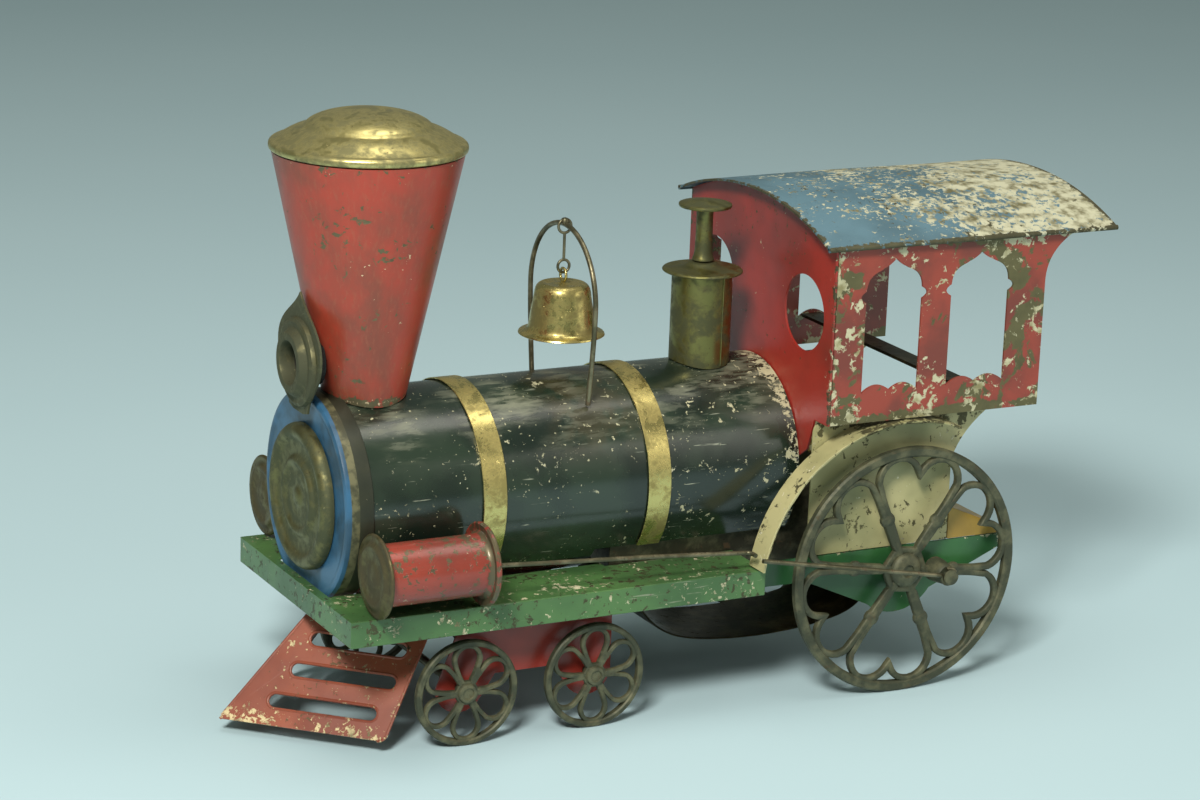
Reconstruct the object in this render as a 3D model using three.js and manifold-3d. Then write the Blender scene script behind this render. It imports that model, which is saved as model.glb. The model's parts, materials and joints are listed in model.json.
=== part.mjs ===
// Painted-tin clockwork toy locomotive. Millimetres, +X is the front, +Y the left side, +Z up.
// All positions below are measured from the driving axle, and the whole is centred at the end.
import * as THREE from "three";
import { mergeVertices } from "three/addons/utils/BufferGeometryUtils.js";
import Module from "manifold-3d";

const wasm = await Module();
wasm.setup();

// ---------- driving dimensions ----------
const tin = 0.8;
const gap = 0.35;

const driverRadius = 45;
const driverFace = 50.4;
const driverThickness = 3.4;
const axleZ = driverRadius;
const axleRadius = 2;
const crankRadius = 13.6;
const crankAngle = 187;
const studHead = 59.4;

const truckRadius = 18.6;
const truckFace = 42.7;
const truckThickness = 3;
const truckAxleX = [166, 118];
const truckPivotX = 142;
const truckSheetY = 36;

const boilerRadius = 34.7;
const boilerZ = 80.3;
const boilerFrontX = 206.9;
const boilerRearX = 36.9;
const bandFrontEdges = [158.5, 96.3];
const bandWidth = 8.6;

const stackX = 187.4;
const stackTopZ = 197;
const stackBaseZ = 112.7;
const stackBaseRadius = 13.8;
const stackSlope = 0.2178;
const domeX = 59.5;
const bellX = 114;
const lampX = 210.4;
const lampZ = 127;

const footplateZ = 51.5;
const footplateHalf = 49.4;
const footplateFrontX = 211.9;
const footplateRearX = 56.7;
const skirtDepth = 9.2;

const cabFrontX = 36.5;
const cabRearX = -49.5;
const cabHalf = 51.5;
const cabBottomZ = 101.5;
const roofFrontX = 40.8;
const roofRearX = -77;
const roofRadius = 133;
const roofRidgeZ = 176;
const roofHalf = 53.6;

const frameY = 43.4;
const frameTopZ = 52;
const frameRearX = -43;
const guardRadius = 57;
const guardCentre = { x: 4, z: 44 };

const cylinderY = 48.4;
const cylinderZ = 66;
const cylinderRadius = 10.4;
const flangeRadius = 14.2;
const cylinderFrontX = 203;
const cylinderRearX = 165;
const rodRadius = 0.8;
const rodJogX = 64;
const rodJogZ = 58.3;
const mainRodY = 57;

const movementY = 24;
const springHalfWidth = 18;
const arborRadius = 1.5;
const toothDepth = 2.7;
const noseX = 238.4;

const colours = {
  red: { color: 0xa83a2a, roughness: 0.55, metalness: 0.1 },
  dullRed: { color: 0x8a3d30, roughness: 0.6, metalness: 0.1 },
  black: { color: 0x1c2522, roughness: 0.35, metalness: 0.2 },
  brass: { color: 0xb09a4e, roughness: 0.4, metalness: 0.9 },
  oldBrass: { color: 0x7d784a, roughness: 0.5, metalness: 0.8 },
  blue: { color: 0x41688f, roughness: 0.5, metalness: 0.1 },
  roofBlue: { color: 0x5b7f90, roughness: 0.6, metalness: 0.1 },
  green: { color: 0x3d6b42, roughness: 0.5, metalness: 0.1 },
  cream: { color: 0xbdb684, roughness: 0.6, metalness: 0.1 },
  yellow: { color: 0x9c8432, roughness: 0.6, metalness: 0.1 },
  iron: { color: 0x4d4b36, roughness: 0.6, metalness: 0.6 },
  steel: { color: 0x5e5c55, roughness: 0.45, metalness: 0.9 },
};

// ---------- helpers ----------
const root = new THREE.Group();
const degrees = Math.PI / 180;

// One closed solid from a three.js geometry, turned the right way out.
function solid(geometry) {
  const bare = geometry.clone();
  bare.deleteAttribute("normal");
  bare.deleteAttribute("uv");
  const merged = mergeVertices(bare, 1e-4);
  const triVerts = new Uint32Array(merged.index.array);
  const vertProperties = merged.attributes.position.array;
  const made = new wasm.Manifold(new wasm.Mesh({ numProp: 3, vertProperties, triVerts }));
  if (made.volume() > 0) return made;
  for (let i = 0; i < triVerts.length; i += 3) {
    [triVerts[i + 1], triVerts[i + 2]] = [triVerts[i + 2], triVerts[i + 1]];
  }
  return new wasm.Manifold(new wasm.Mesh({ numProp: 3, vertProperties, triVerts }));
}

function add(name, body, look) {
  const { vertProperties, triVerts, numProp } = body.getMesh();
  const positions = new Float32Array(triVerts.length * 3);
  triVerts.forEach((v, i) => {
    for (let k = 0; k < 3; k += 1) positions[i * 3 + k] = vertProperties[v * numProp + k];
  });
  const geometry = new THREE.BufferGeometry();
  geometry.setAttribute("position", new THREE.BufferAttribute(positions, 3));
  geometry.computeVertexNormals();
  const mesh = new THREE.Mesh(geometry, new THREE.MeshStandardMaterial(colours[look]));
  mesh.name = name;
  root.add(mesh);
}

const mirrored = (body) => body.mirror([0, 1, 0]);

function addPair(name, body, look) {
  add(name + "_left", body, look);
  add(name + "_right", mirrored(body), look);
}

const box = (x0, x1, y0, y1, z0, z1) =>
  solid(
    new THREE.BoxGeometry(x1 - x0, y1 - y0, z1 - z0).translate(
      (x0 + x1) / 2,
      (y0 + y1) / 2,
      (z0 + z1) / 2,
    ),
  );

// Turned bodies. Profile points are [radius, distance along the axis].
const profile = (points) => points.map(([r, h]) => new THREE.Vector2(r, h));
const turnedX = (points, segments, y = 0, z = 0) =>
  solid(
    new THREE.LatheGeometry(profile(points), segments).rotateZ(-Math.PI / 2).translate(0, y, z),
  );
const turnedY = (points, segments, x = 0, z = 0) =>
  solid(new THREE.LatheGeometry(profile(points), segments).translate(x, 0, z));
const turnedZ = (points, segments, x = 0, y = 0) =>
  solid(
    new THREE.LatheGeometry(profile(points), segments).rotateX(Math.PI / 2).translate(x, y, 0),
  );
const rod = (radius, from, to) => [
  [0, from],
  [radius, from],
  [radius, to],
  [0, to],
];
const ring = (inner, outer, from, to) => [
  [inner, from],
  [outer, from],
  [outer, to],
  [inner, to],
  [inner, from],
];

// Flat sheets. sideSheet stands along the train, crossSheet across it, floorSheet lies flat.
const extruded = (shape, depth, curveSegments = 8) =>
  new THREE.ExtrudeGeometry(shape, { depth, bevelEnabled: false, curveSegments });
const sideSheet = (shape, outerY, depth = tin, curveSegments = 8) =>
  solid(extruded(shape, depth, curveSegments).rotateX(Math.PI / 2).translate(0, outerY, 0));
const acrossBasis = new THREE.Matrix4().makeBasis(
  new THREE.Vector3(0, 1, 0),
  new THREE.Vector3(0, 0, 1),
  new THREE.Vector3(1, 0, 0),
);
const crossSheet = (shape, rearX, depth = tin, curveSegments = 8) =>
  solid(
    extruded(shape, depth, curveSegments).applyMatrix4(acrossBasis).translate(rearX, 0, 0),
  );

const polygon = (points) => new THREE.Shape(points.map(([a, b]) => new THREE.Vector2(a, b)));

function circleHole(x, y, radius) {
  return new THREE.Path().absarc(x, y, radius, 0, 2 * Math.PI, true);
}

// Round wire along a curve.
function wire(curve, radius, steps, sides = 8) {
  const section = new THREE.Shape().absarc(0, 0, radius, 0, 2 * Math.PI, false);
  return solid(
    new THREE.ExtrudeGeometry(section, { steps, extrudePath: curve, curveSegments: sides / 2 }),
  );
}

const at = (x, y, z) => new THREE.Vector3(x, y, z);

// A loop of points moved sideways by a distance, corners kept.
function offsetLoop(points, distance, closed = true) {
  const last = points.length - 1;
  return points.map((p, i) => {
    const before = closed || i > 0 ? points[(i + last) % (last + 1)] : null;
    const after = closed || i < last ? points[(i + 1) % (last + 1)] : null;
    const arriving = before ? p.clone().sub(before).normalize() : null;
    const leaving = after ? after.clone().sub(p).normalize() : null;
    const a = arriving || leaving;
    const b = leaving || arriving;
    const along = a.clone().add(b).normalize();
    const normal = new THREE.Vector2(along.y, -along.x);
    const squareness = Math.max(0.6, normal.dot(new THREE.Vector2(a.y, -a.x)));
    return p.clone().addScaledVector(normal, distance / squareness);
  });
}

// A closed band of metal round a loop of points.
function bandShape(points, width) {
  const outer = new THREE.Shape(offsetLoop(points, width / 2));
  outer.holes.push(new THREE.Path(offsetLoop(points, -width / 2)));
  return outer;
}

// ---------- chimney ----------
const sleeveInner = boilerRadius + gap;
const sleeveRearX = boilerFrontX - 8.5;
const coneRadius = (z) => stackBaseRadius + (z - stackBaseZ) * stackSlope;
const boilerTool = turnedX(rod(boilerRadius + gap, 0, 250), 72, 0, boilerZ);
const coneFootZ = 108;
const coneTool = turnedZ(
  [
    [0, coneFootZ],
    [coneRadius(coneFootZ) + gap, coneFootZ],
    [coneRadius(stackTopZ) + gap, stackTopZ],
    [0, stackTopZ],
  ],
  48,
  stackX,
);
add(
  "stack_cone",
  turnedZ(
    [
      [coneRadius(coneFootZ), coneFootZ],
      [coneRadius(stackTopZ), stackTopZ],
      [coneRadius(stackTopZ) - tin, stackTopZ],
      [coneRadius(coneFootZ) - tin, coneFootZ],
      [coneRadius(coneFootZ), coneFootZ],
    ],
    48,
    stackX,
  )
    .subtract(boilerTool)
    .subtract(turnedX(rod(sleeveInner + tin + gap, sleeveRearX - gap, 250), 72, 0, boilerZ)),
  "red",
);

const capProfile = [
  [32.2, 0],
  [33.1, 1.2],
  [32.6, 3],
  [31.2, 3.6],
  [26.6, 6.2],
  [21.6, 7.9],
  [20.2, 9.2],
  [11.5, 12.4],
];
const capHeight = 13.4;
add(
  "stack_cap",
  turnedZ(
    [
      ...capProfile.map(([r, h]) => [r, stackTopZ + gap + h]),
      [0, stackTopZ + gap + capHeight],
      [0, stackTopZ + gap + capHeight - tin],
      ...capProfile
        .slice(3)
        .reverse()
        .map(([r, h]) => [r - 0.6, stackTopZ + gap + h - tin]),
      [31.2, stackTopZ + gap + 2],
      [31.2, stackTopZ + gap],
      [32.2, stackTopZ + gap],
    ],
    36,
    stackX,
  ),
  "oldBrass",
);

// ---------- headlamp ----------
const lampPlate = new THREE.Shape();
lampPlate.moveTo(0, 24);
lampPlate.bezierCurveTo(5, 17, 18.5, 14, 18.5, 4);
lampPlate.bezierCurveTo(18.5, -6, 8.5, -9, 8, -16);
lampPlate.lineTo(0, -17);
lampPlate.lineTo(-8, -16);
lampPlate.bezierCurveTo(-8.5, -9, -18.5, -6, -18.5, 4);
lampPlate.bezierCurveTo(-18.5, 14, -5, 17, 0, 24);
const lampHole = 7.3;
add(
  "headlamp",
  crossSheet(lampPlate, lampX, tin, 5)
    .translate([0, 0, lampZ])
    .subtract(turnedX(rod(lampHole, lampX - 9, lampX + 9), 20, 0, lampZ))
    .add(
      turnedX(
        [
          [lampHole, lampX + 0.2],
          [15, lampX + 0.2],
          [14.6, lampX + 2.2],
          [11.6, lampX + 2.4],
          [10.8, lampX + 4],
          [9.4, lampX + 5],
          [lampHole, lampX + 5],
          [lampHole, lampX + 0.2],
        ],
        20,
        0,
        lampZ,
      ),
    )
    .add(
      turnedX(
        [
          [0, lampX - 6],
          [lampHole + tin, lampX - 6],
          [lampHole + tin, lampX + 0.6],
          [lampHole, lampX + 0.6],
          [lampHole, lampX - 2],
          [0, lampX - 2],
        ],
        20,
        0,
        lampZ,
      ),
    )
    .subtract(coneTool),
  "oldBrass",
);

// ---------- boiler ----------
const movementSlot = box(30, 112, -27, 27, 30, 62);
const windingX = 72;
const windingZ = 60;
const windingHole = turnedY(rod(4.6, -60, -20), 24, windingX, windingZ);
add(
  "boiler_shell",
  turnedX(ring(boilerRadius - tin, boilerRadius, boilerRearX, boilerFrontX - gap), 60, 0, boilerZ)
    .subtract(movementSlot)
    .subtract(windingHole),
  "black",
);

const capFaceX = boilerFrontX + tin;
add(
  "boiler_front",
  turnedX(
    [
      [0, boilerFrontX],
      [sleeveInner, boilerFrontX],
      [sleeveInner, sleeveRearX],
      [sleeveInner + tin, sleeveRearX],
      [sleeveInner + tin, capFaceX - 0.4],
      [sleeveInner, capFaceX + 0.5],
      [sleeveInner - 1.6, capFaceX + 0.5],
      [sleeveInner - 2.2, capFaceX],
      [0, capFaceX],
    ],
    48,
    0,
    boilerZ,
  ),
  "blue",
);

const doorX = capFaceX + gap;
add(
  "smokebox_door",
  turnedX(
    [
      [0, doorX],
      [25, doorX],
      [24.7, doorX + 2.6],
      [21.8, doorX + 4.2],
      [18.6, doorX + 2.4],
      [14.4, doorX + 2.4],
      [12.2, doorX + 3.9],
      [9.8, doorX + 2.8],
      [3, doorX + 2.8],
      [0, doorX + 3.9],
    ],
    36,
    0,
    boilerZ,
  ),
  "oldBrass",
);

bandFrontEdges.forEach((x, i) => {
  const hoop = turnedX(
    ring(boilerRadius + gap, boilerRadius + gap + 0.5, x - bandWidth, x),
    48,
    0,
    boilerZ,
  );
  add(["band_front", "band_rear"][i], hoop.subtract(movementSlot), "brass");
});

// ---------- bell ----------
const hoopHalf = 25;
const hoopTopZ = 167.1;
const hoopWire = 0.9;
const hoopFoot = { y: 21.8, z: 108.7 };
const hoopSprings = hoopTopZ - hoopHalf;
const hoopArc = Array.from({ length: 13 }, (_, i) => {
  const turn = (i / 12) * Math.PI;
  return at(bellX, hoopHalf * Math.cos(turn), hoopSprings + hoopHalf * Math.sin(turn));
});
const hoopCurve = new THREE.CatmullRomCurve3([
  at(bellX, hoopFoot.y, hoopFoot.z),
  at(bellX, 23.6, 125),
  ...hoopArc,
  at(bellX, -23.6, 125),
  at(bellX, -hoopFoot.y, hoopFoot.z),
]);
add("bell_hoop", wire(hoopCurve, hoopWire, 30, 6), "iron");

const eyeWire = 0.5;
const eye = (radius, z, turned) =>
  solid(
    new THREE.TorusGeometry(radius, eyeWire, 5, 14)
      .rotateX(turned ? 0 : Math.PI / 2)
      .rotateY(turned ? Math.PI / 2 : 0)
      .rotateX(turned ? 0 : Math.PI / 2)
      .translate(bellX, 0, z),
  );
const upEyeZ = hoopTopZ - 0.7;
const lowEyeZ = 152.4;
const bellEyeZ = 149.4;
const swingEye = (radius, z) =>
  solid(new THREE.TorusGeometry(radius, eyeWire, 5, 14).rotateX(Math.PI / 2).translate(bellX, 0, z));
add(
  "bell_hook",
  swingEye(2.4, upEyeZ)
    .add(swingEye(2.2, lowEyeZ))
    .add(turnedZ(rod(eyeWire, lowEyeZ + 2.1, upEyeZ - 2.3), 8, bellX)),
  "iron",
);

const bellLipZ = 128.4;
const bellOuter = [
  [15, 0.6],
  [11.6, 1.9],
  [9.9, 13.6],
  [9.2, 16.6],
  [7.4, 18.1],
];
add(
  "bell",
  turnedZ(
    [
      ...bellOuter.map(([r, h]) => [r, bellLipZ + h]),
      [1.2, bellLipZ + 18.4],
      [0.7, bellLipZ + 18.8],
      [0, bellLipZ + 18.8],
      [0, bellLipZ + 17.3],
      ...bellOuter
        .slice(1)
        .reverse()
        .map(([r, h]) => [r - tin, bellLipZ + h - 0.9]),
      [14.4, bellLipZ],
      [15, bellLipZ + 0.6],
    ],
    24,
    bellX,
  ).add(eye(2.2, bellEyeZ, true)),
  "brass",
);

// ---------- dome ----------
const domeBodyTopZ = 146.2;
add(
  "dome_body",
  turnedZ(ring(10.7 - tin, 10.7, 108, domeBodyTopZ), 32, domeX).subtract(boilerTool),
  "oldBrass",
);
add(
  "dome_flange",
  turnedZ(
    [
      [0, domeBodyTopZ + gap],
      [14.2, domeBodyTopZ + gap],
      [13.6, domeBodyTopZ + 1.4],
      [5.6, domeBodyTopZ + 2.6],
      [4.6, domeBodyTopZ + 4],
      [0, domeBodyTopZ + 4],
    ],
    28,
    domeX,
  ),
  "oldBrass",
);
const whistleFoot = domeBodyTopZ + 4 + gap;
add(
  "whistle",
  turnedZ(
    [
      [0, whistleFoot],
      [3.9, whistleFoot],
      [3.1, whistleFoot + 3],
      [2.9, 168.6],
      [9.2, 169.6],
      [9.4, 170.8],
      [5, 171.8],
      [0, 172.3],
    ],
    20,
    domeX,
  ),
  "oldBrass",
);

// ---------- cab ----------
const roofCentreZ = roofRidgeZ - roofRadius;
const underRoof = (radius, y) => roofCentreZ + Math.sqrt(radius * radius - y * y);
const wallTopRadius = roofRadius - tin - gap;

function arcAcross(radius, half, steps, reverse) {
  return Array.from({ length: steps + 1 }, (_, i) => {
    const y = half * (1 - (2 * i) / steps) * (reverse ? -1 : 1);
    return [y, underRoof(radius, y)];
  });
}

const archRadius = 33.6;
const archFootAngle = 10;
const archPoints = Array.from({ length: 21 }, (_, i) => {
  const turn = (archFootAngle + (i / 20) * (180 - 2 * archFootAngle)) * degrees;
  return [archRadius * Math.cos(turn), boilerZ + archRadius * Math.sin(turn)];
});
const frontWall = polygon([
  ...arcAcross(wallTopRadius, cabHalf, 16, false),
  [-cabHalf, cabBottomZ],
  [-42.5, cabBottomZ],
  [-38.6, 90],
  ...archPoints.reverse(),
  [38.6, 90],
  [42.5, cabBottomZ],
  [cabHalf, cabBottomZ],
]);
for (const side of [-1, 1]) frontWall.holes.push(circleHole(side * 32, 137.4, 13.4));
add("cab_front", crossSheet(frontWall, cabFrontX - tin, tin, 9), "red");

const windowFoot = 112;
const windowNotchZ = 146.2;
const windowSpringZ = 148.6;
const windowApexZ = 159;
function cabWindow(front, rear) {
  const middle = (front + rear) / 2;
  const quarter = (front - rear) / 4;
  const opening = new THREE.Path();
  opening.moveTo(rear, windowFoot);
  opening.quadraticCurveTo(rear + quarter, windowFoot + 5, middle, windowFoot + 0.6);
  opening.quadraticCurveTo(front - quarter, windowFoot + 5, front, windowFoot);
  opening.lineTo(front, windowNotchZ - 2);
  opening.quadraticCurveTo(front + 4, windowNotchZ, front, windowNotchZ + 2);
  opening.lineTo(front, windowSpringZ);
  opening.bezierCurveTo(front - 0.5, 154.6, front - 5, 154.6, front - 7, 156);
  opening.quadraticCurveTo(middle + 2, 157, middle, windowApexZ);
  opening.quadraticCurveTo(middle - 2, 157, rear + 7, 156);
  opening.bezierCurveTo(rear + 5, 154.6, rear + 0.5, 154.6, rear, windowSpringZ);
  opening.lineTo(rear, windowNotchZ + 2);
  opening.quadraticCurveTo(rear - 4, windowNotchZ, rear, windowNotchZ - 2);
  return opening;
}
const sideTopZ = underRoof(wallTopRadius, cabHalf) - 0.1;
const cabSide = new THREE.Shape();
cabSide.moveTo(cabFrontX - tin - gap, cabBottomZ);
cabSide.lineTo(cabFrontX - tin - gap, sideTopZ);
cabSide.lineTo(cabRearX - 13, sideTopZ);
cabSide.quadraticCurveTo(cabRearX, sideTopZ - 6, cabRearX, sideTopZ - 18);
cabSide.lineTo(cabRearX, cabBottomZ);
cabSide.holes.push(cabWindow(23.7, 1.2));
cabSide.holes.push(cabWindow(-10.6, -34.2));
addPair("cab_side", sideSheet(cabSide, cabHalf, tin, 4), "dullRed");

const roofBead = 0.9;
const roofShape = polygon([
  ...arcAcross(roofRadius, roofHalf, 20, false),
  ...arcAcross(roofRadius - tin, roofHalf, 20, true),
]);
let roof = crossSheet(roofShape, roofRearX, roofFrontX - roofRearX);
for (const side of [-1, 1]) {
  const y = side * roofHalf;
  const z = underRoof(roofRadius - tin / 2, roofHalf);
  roof = roof.add(turnedX(rod(roofBead, roofRearX, roofFrontX), 10, y, z));
}
add("cab_roof", roof, "roofBlue");
const barHalf = cabHalf - tin - gap;
add("cab_cross_strip", box(-20, -12, -barHalf, barHalf, 112.2, 113.4), "iron");

// ---------- footplate ----------
const movementOpening = { half: 25.2, front: 107 };
const boilerOpeningHalf = 22.2;
const underside = footplateZ - skirtDepth;
add(
  "footplate",
  box(footplateRearX, footplateFrontX, -footplateHalf, footplateHalf, underside, footplateZ)
    .subtract(
      box(
        footplateRearX - 5,
        footplateFrontX - tin,
        -footplateHalf + tin,
        footplateHalf - tin,
        underside - 5,
        footplateZ - tin,
      ),
    )
    .subtract(
      box(
        footplateRearX - 5,
        footplateFrontX - 3.5,
        -boilerOpeningHalf,
        boilerOpeningHalf,
        footplateZ - 5,
        footplateZ + 5,
      ),
    )
    .subtract(
      box(
        footplateRearX - 5,
        movementOpening.front,
        -movementOpening.half,
        movementOpening.half,
        footplateZ - 5,
        footplateZ + 5,
      ),
    ),
  "green",
);

// ---------- wheel guards and side plates ----------
const guardPoints = (radius, from, to, steps) =>
  Array.from({ length: steps + 1 }, (_, i) => {
    const turn = (from + (i / steps) * (to - from)) * degrees;
    return [guardCentre.x + radius * Math.cos(turn), guardCentre.z + radius * Math.sin(turn)];
  });
const guardShape = polygon([
  ...guardPoints(guardRadius, 8.2, 112, 22),
  ...guardPoints(guardRadius - tin, 112, 8.2, 22),
]);
const guardOuterY = 54;
addPair(
  "wheel_guard",
  sideSheet(guardShape, guardOuterY, guardOuterY - frameY - gap),
  "cream",
);

const sidePlateFoot = frameTopZ + gap;
const sidePlateTop = cabBottomZ - gap;
const sidePlate = new THREE.Shape();
sidePlate.moveTo(37, sidePlateFoot);
sidePlate.lineTo(37, 97);
sidePlate.quadraticCurveTo(36.8, sidePlateTop, 32, sidePlateTop);
sidePlate.lineTo(-37, sidePlateTop);
sidePlate.quadraticCurveTo(-24, 93, -20.4, 82);
sidePlate.lineTo(-20.4, sidePlateFoot);
addPair("side_plate", sideSheet(sidePlate, frameY), "cream");

// ---------- axle frame ----------
const lugRadius = 17.5;
const frameSide = new THREE.Shape();
frameSide.moveTo(frameRearX + gap, frameTopZ);
frameSide.lineTo(frameRearX + gap, 47);
frameSide.lineTo(-14.5, 35);
frameSide.absarc(0, axleZ, lugRadius, 215 * degrees, 310 * degrees, false);
frameSide.lineTo(37, 43);
frameSide.lineTo(78, 43);
frameSide.lineTo(78, footplateZ - tin - gap);
frameSide.lineTo(footplateRearX - gap, footplateZ - tin - gap);
frameSide.lineTo(footplateRearX - gap, frameTopZ);
const axleSlot = new THREE.Path();
axleSlot.absarc(0, axleZ, axleRadius + gap, 180 * degrees, 360 * degrees, false);
axleSlot.lineTo(axleRadius + gap, 47.6);
axleSlot.lineTo(-axleRadius - gap, 47.6);
frameSide.holes.push(axleSlot);
addPair("frame_side", sideSheet(frameSide, frameY, tin, 6), "green");
add("frame_rear", box(frameRearX - tin, frameRearX, -frameY, frameY, 46.5, frameTopZ), "green");

const apronHalf = frameY;
const apronFoot = frameTopZ + gap;
const apronOutline = polygon([
  [-20.8, apronFoot],
  [-20.8, 64.4],
  [-42.8, 55],
  [-42.8, apronFoot],
]);
add(
  "rear_apron",
  sideSheet(apronOutline, apronHalf, 2 * apronHalf).subtract(
    sideSheet(
      polygon([
        [-10, apronFoot - 5],
        [-10, 68.2],
        [-42, 54.4],
        [-42, apronFoot - 5],
      ]),
      apronHalf - tin,
      2 * (apronHalf - tin),
    ),
  ),
  "yellow",
);

// ---------- cylinders and rods ----------
const rodSlope = (cylinderZ - 0.8 - rodJogZ) / (cylinderRearX - rodJogX);
const rodTilt = Math.atan(rodSlope);
const rodHeight = (x) => rodJogZ + (x - rodJogX) * rodSlope;
const rodHole = turnedX(rod(rodRadius + 0.6, -20, 20), 10)
  .rotate([0, -rodTilt / degrees, 0])
  .translate([cylinderRearX, cylinderY, rodHeight(cylinderRearX)]);
const inner = cylinderRadius - tin;
addPair(
  "cylinder",
  turnedX(
    [
      [0, cylinderRearX - 1],
      [flangeRadius, cylinderRearX - 1],
      [flangeRadius, cylinderRearX + 1],
      [cylinderRadius, cylinderRearX + 1],
      [cylinderRadius, cylinderFrontX - 1],
      [inner, cylinderFrontX - 1],
      [inner, cylinderRearX],
      [0, cylinderRearX],
    ],
    20,
    cylinderY,
    cylinderZ,
  ).subtract(rodHole),
  "red",
);
const faceX = cylinderFrontX - 1 + gap;
addPair(
  "cylinder_face",
  turnedX(
    [
      [0, faceX],
      [flangeRadius, faceX],
      [flangeRadius - 0.4, faceX + 1.4],
      [11.2, faceX + 1.6],
      [9.6, faceX + 2.4],
      [5.6, faceX + 1.7],
      [0, faceX + 1.9],
    ],
    20,
    cylinderY,
    cylinderZ,
  ),
  "oldBrass",
);

const pistonRodEnd = 174;
const pistonRod = wire(
  new THREE.CatmullRomCurve3(
    [
      at(rodJogX - 1.4, cylinderY + 3.6, rodJogZ - 0.2),
      at(rodJogX - 1.2, cylinderY + 1.6, rodJogZ - 0.1),
      at(rodJogX, cylinderY + 0.2, rodJogZ),
      at(rodJogX + 2, cylinderY, rodHeight(rodJogX + 2)),
      at((rodJogX + pistonRodEnd) / 2, cylinderY, rodHeight((rodJogX + pistonRodEnd) / 2)),
      at(pistonRodEnd, cylinderY, rodHeight(pistonRodEnd)),
    ],
    false,
    "centripetal",
  ),
  rodRadius,
  14,
  6,
);
addPair("piston_rod", pistonRod, "steel");

const crank = {
  x: crankRadius * Math.cos(crankAngle * degrees),
  z: axleZ + crankRadius * Math.sin(crankAngle * degrees),
};
const studRadius = 1.6;
const mainRodFrontX = rodJogX - 1.4;
const mainRodFrontZ = rodJogZ - 0.6;
const eyeRadius = studRadius + gap + rodRadius;
const rodDirection = new THREE.Vector2(mainRodFrontX - crank.x, mainRodFrontZ - crank.z).normalize();
const mainRod = wire(
  new THREE.LineCurve3(
    at(crank.x + rodDirection.x * eyeRadius, mainRodY, crank.z + rodDirection.y * eyeRadius),
    at(mainRodFrontX, mainRodY, mainRodFrontZ),
  ),
  rodRadius,
  1,
  6,
).add(
  solid(
    new THREE.TorusGeometry(eyeRadius, rodRadius, 6, 14)
      .rotateX(Math.PI / 2)
      .translate(crank.x, mainRodY, crank.z),
  ),
);
addPair("main_rod", mainRod, "steel");

// ---------- driving wheels ----------
// Half of one heart-shaped loop, from the notch at the rim to the point at the hub.
const lobe = { r: 32.2, s: 8.1, radius: 8.3 };
const lobeSteps = 5;
function heartLoop() {
  const half = [];
  const notchTurn = Math.atan2(-lobe.s, Math.sqrt(lobe.radius ** 2 - lobe.s ** 2));
  for (let i = 0; i <= lobeSteps; i += 1) {
    const turn = notchTurn + (i / lobeSteps) * (Math.PI / 2 + 0.12 - notchTurn);
    half.push([
      lobe.r + lobe.radius * Math.cos(turn),
      lobe.s + lobe.radius * Math.sin(turn),
    ]);
  }
  half.push([24.5, 13.2], [7, 3.4]);
  const mirroredHalf = half
    .slice(1)
    .reverse()
    .map(([r, s]) => [r, -s]);
  return [...half, ...mirroredHalf].map(([r, s]) => new THREE.Vector2(r, s));
}

const spokes = 6;
function starOf(shape, depth, outerY, phase, segments) {
  const pieces = Array.from({ length: spokes }, (_, i) =>
    sideSheet(shape, outerY, depth, segments).rotate([0, -(phase + (i * 360) / spokes), 0]),
  );
  return wasm.Manifold.union(pieces);
}

const heartPhase = 37;
const rimWidth = 3.7;
const driverInner = driverFace - driverThickness;
const driverWheel = wasm.Manifold.union([
  turnedY(ring(driverRadius - rimWidth, driverRadius, driverInner, driverFace), 48),
  starOf(bandShape(heartLoop(), 2.3), driverThickness - 0.8, driverFace - 0.4, heartPhase, 4),
  turnedY(rod(6.2, driverInner - 0.8, driverFace + 1.6), 12),
])
  .translate([0, 0, axleZ])
  .add(
    turnedY(
      [
        [0, driverInner + 0.4],
        [4.4, driverInner + 0.4],
        [3.6, 55.6],
        [studRadius, 55.8],
        [studRadius, studHead - 1.3],
        [2.9, studHead - 1.2],
        [2.5, studHead - 0.3],
        [0, studHead],
      ],
      12,
      crank.x,
      crank.z,
    ),
  )
  .subtract(turnedY(rod(axleRadius + gap, 40, driverFace + 0.8), 14, 0, axleZ));
addPair("driver_wheel", driverWheel, "iron");
add("driver_axle", turnedY(rod(axleRadius, -driverFace, driverFace), 20, 0, axleZ), "steel");

// ---------- front truck ----------
const truckInner = truckFace - truckThickness;
function petalLoop() {
  const centre = 11.9;
  const radius = 4.7;
  const arc = Array.from({ length: 7 }, (_, i) => {
    const turn = (-112 + (i / 6) * 224) * degrees;
    return new THREE.Vector2(centre + radius * Math.cos(turn), radius * Math.sin(turn));
  });
  return [...arc, new THREE.Vector2(4.2, 1.5), new THREE.Vector2(4.2, -1.5)];
}
const truckWheel = wasm.Manifold.union([
  turnedY(ring(truckRadius - 2, truckRadius, truckInner, truckFace), 24),
  starOf(bandShape(petalLoop(), 1.5), truckThickness - 0.9, truckFace - 0.4, 30, 4),
  turnedY(rod(3.6, truckInner - 0.6, truckFace + 0.6), 10),
]).subtract(turnedY(rod(arborRadius + gap, 30, truckFace), 10));
truckAxleX.forEach((x, i) => {
  const place = ["front", "rear"][i];
  addPair("truck_wheel_" + place, truckWheel.translate([x, 0, truckRadius]), "iron");
  add(
    "truck_axle_" + place,
    turnedY(rod(arborRadius, -truckFace + 0.5, truckFace - 0.5), 10, x, truckRadius),
    "steel",
  );
});

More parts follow.
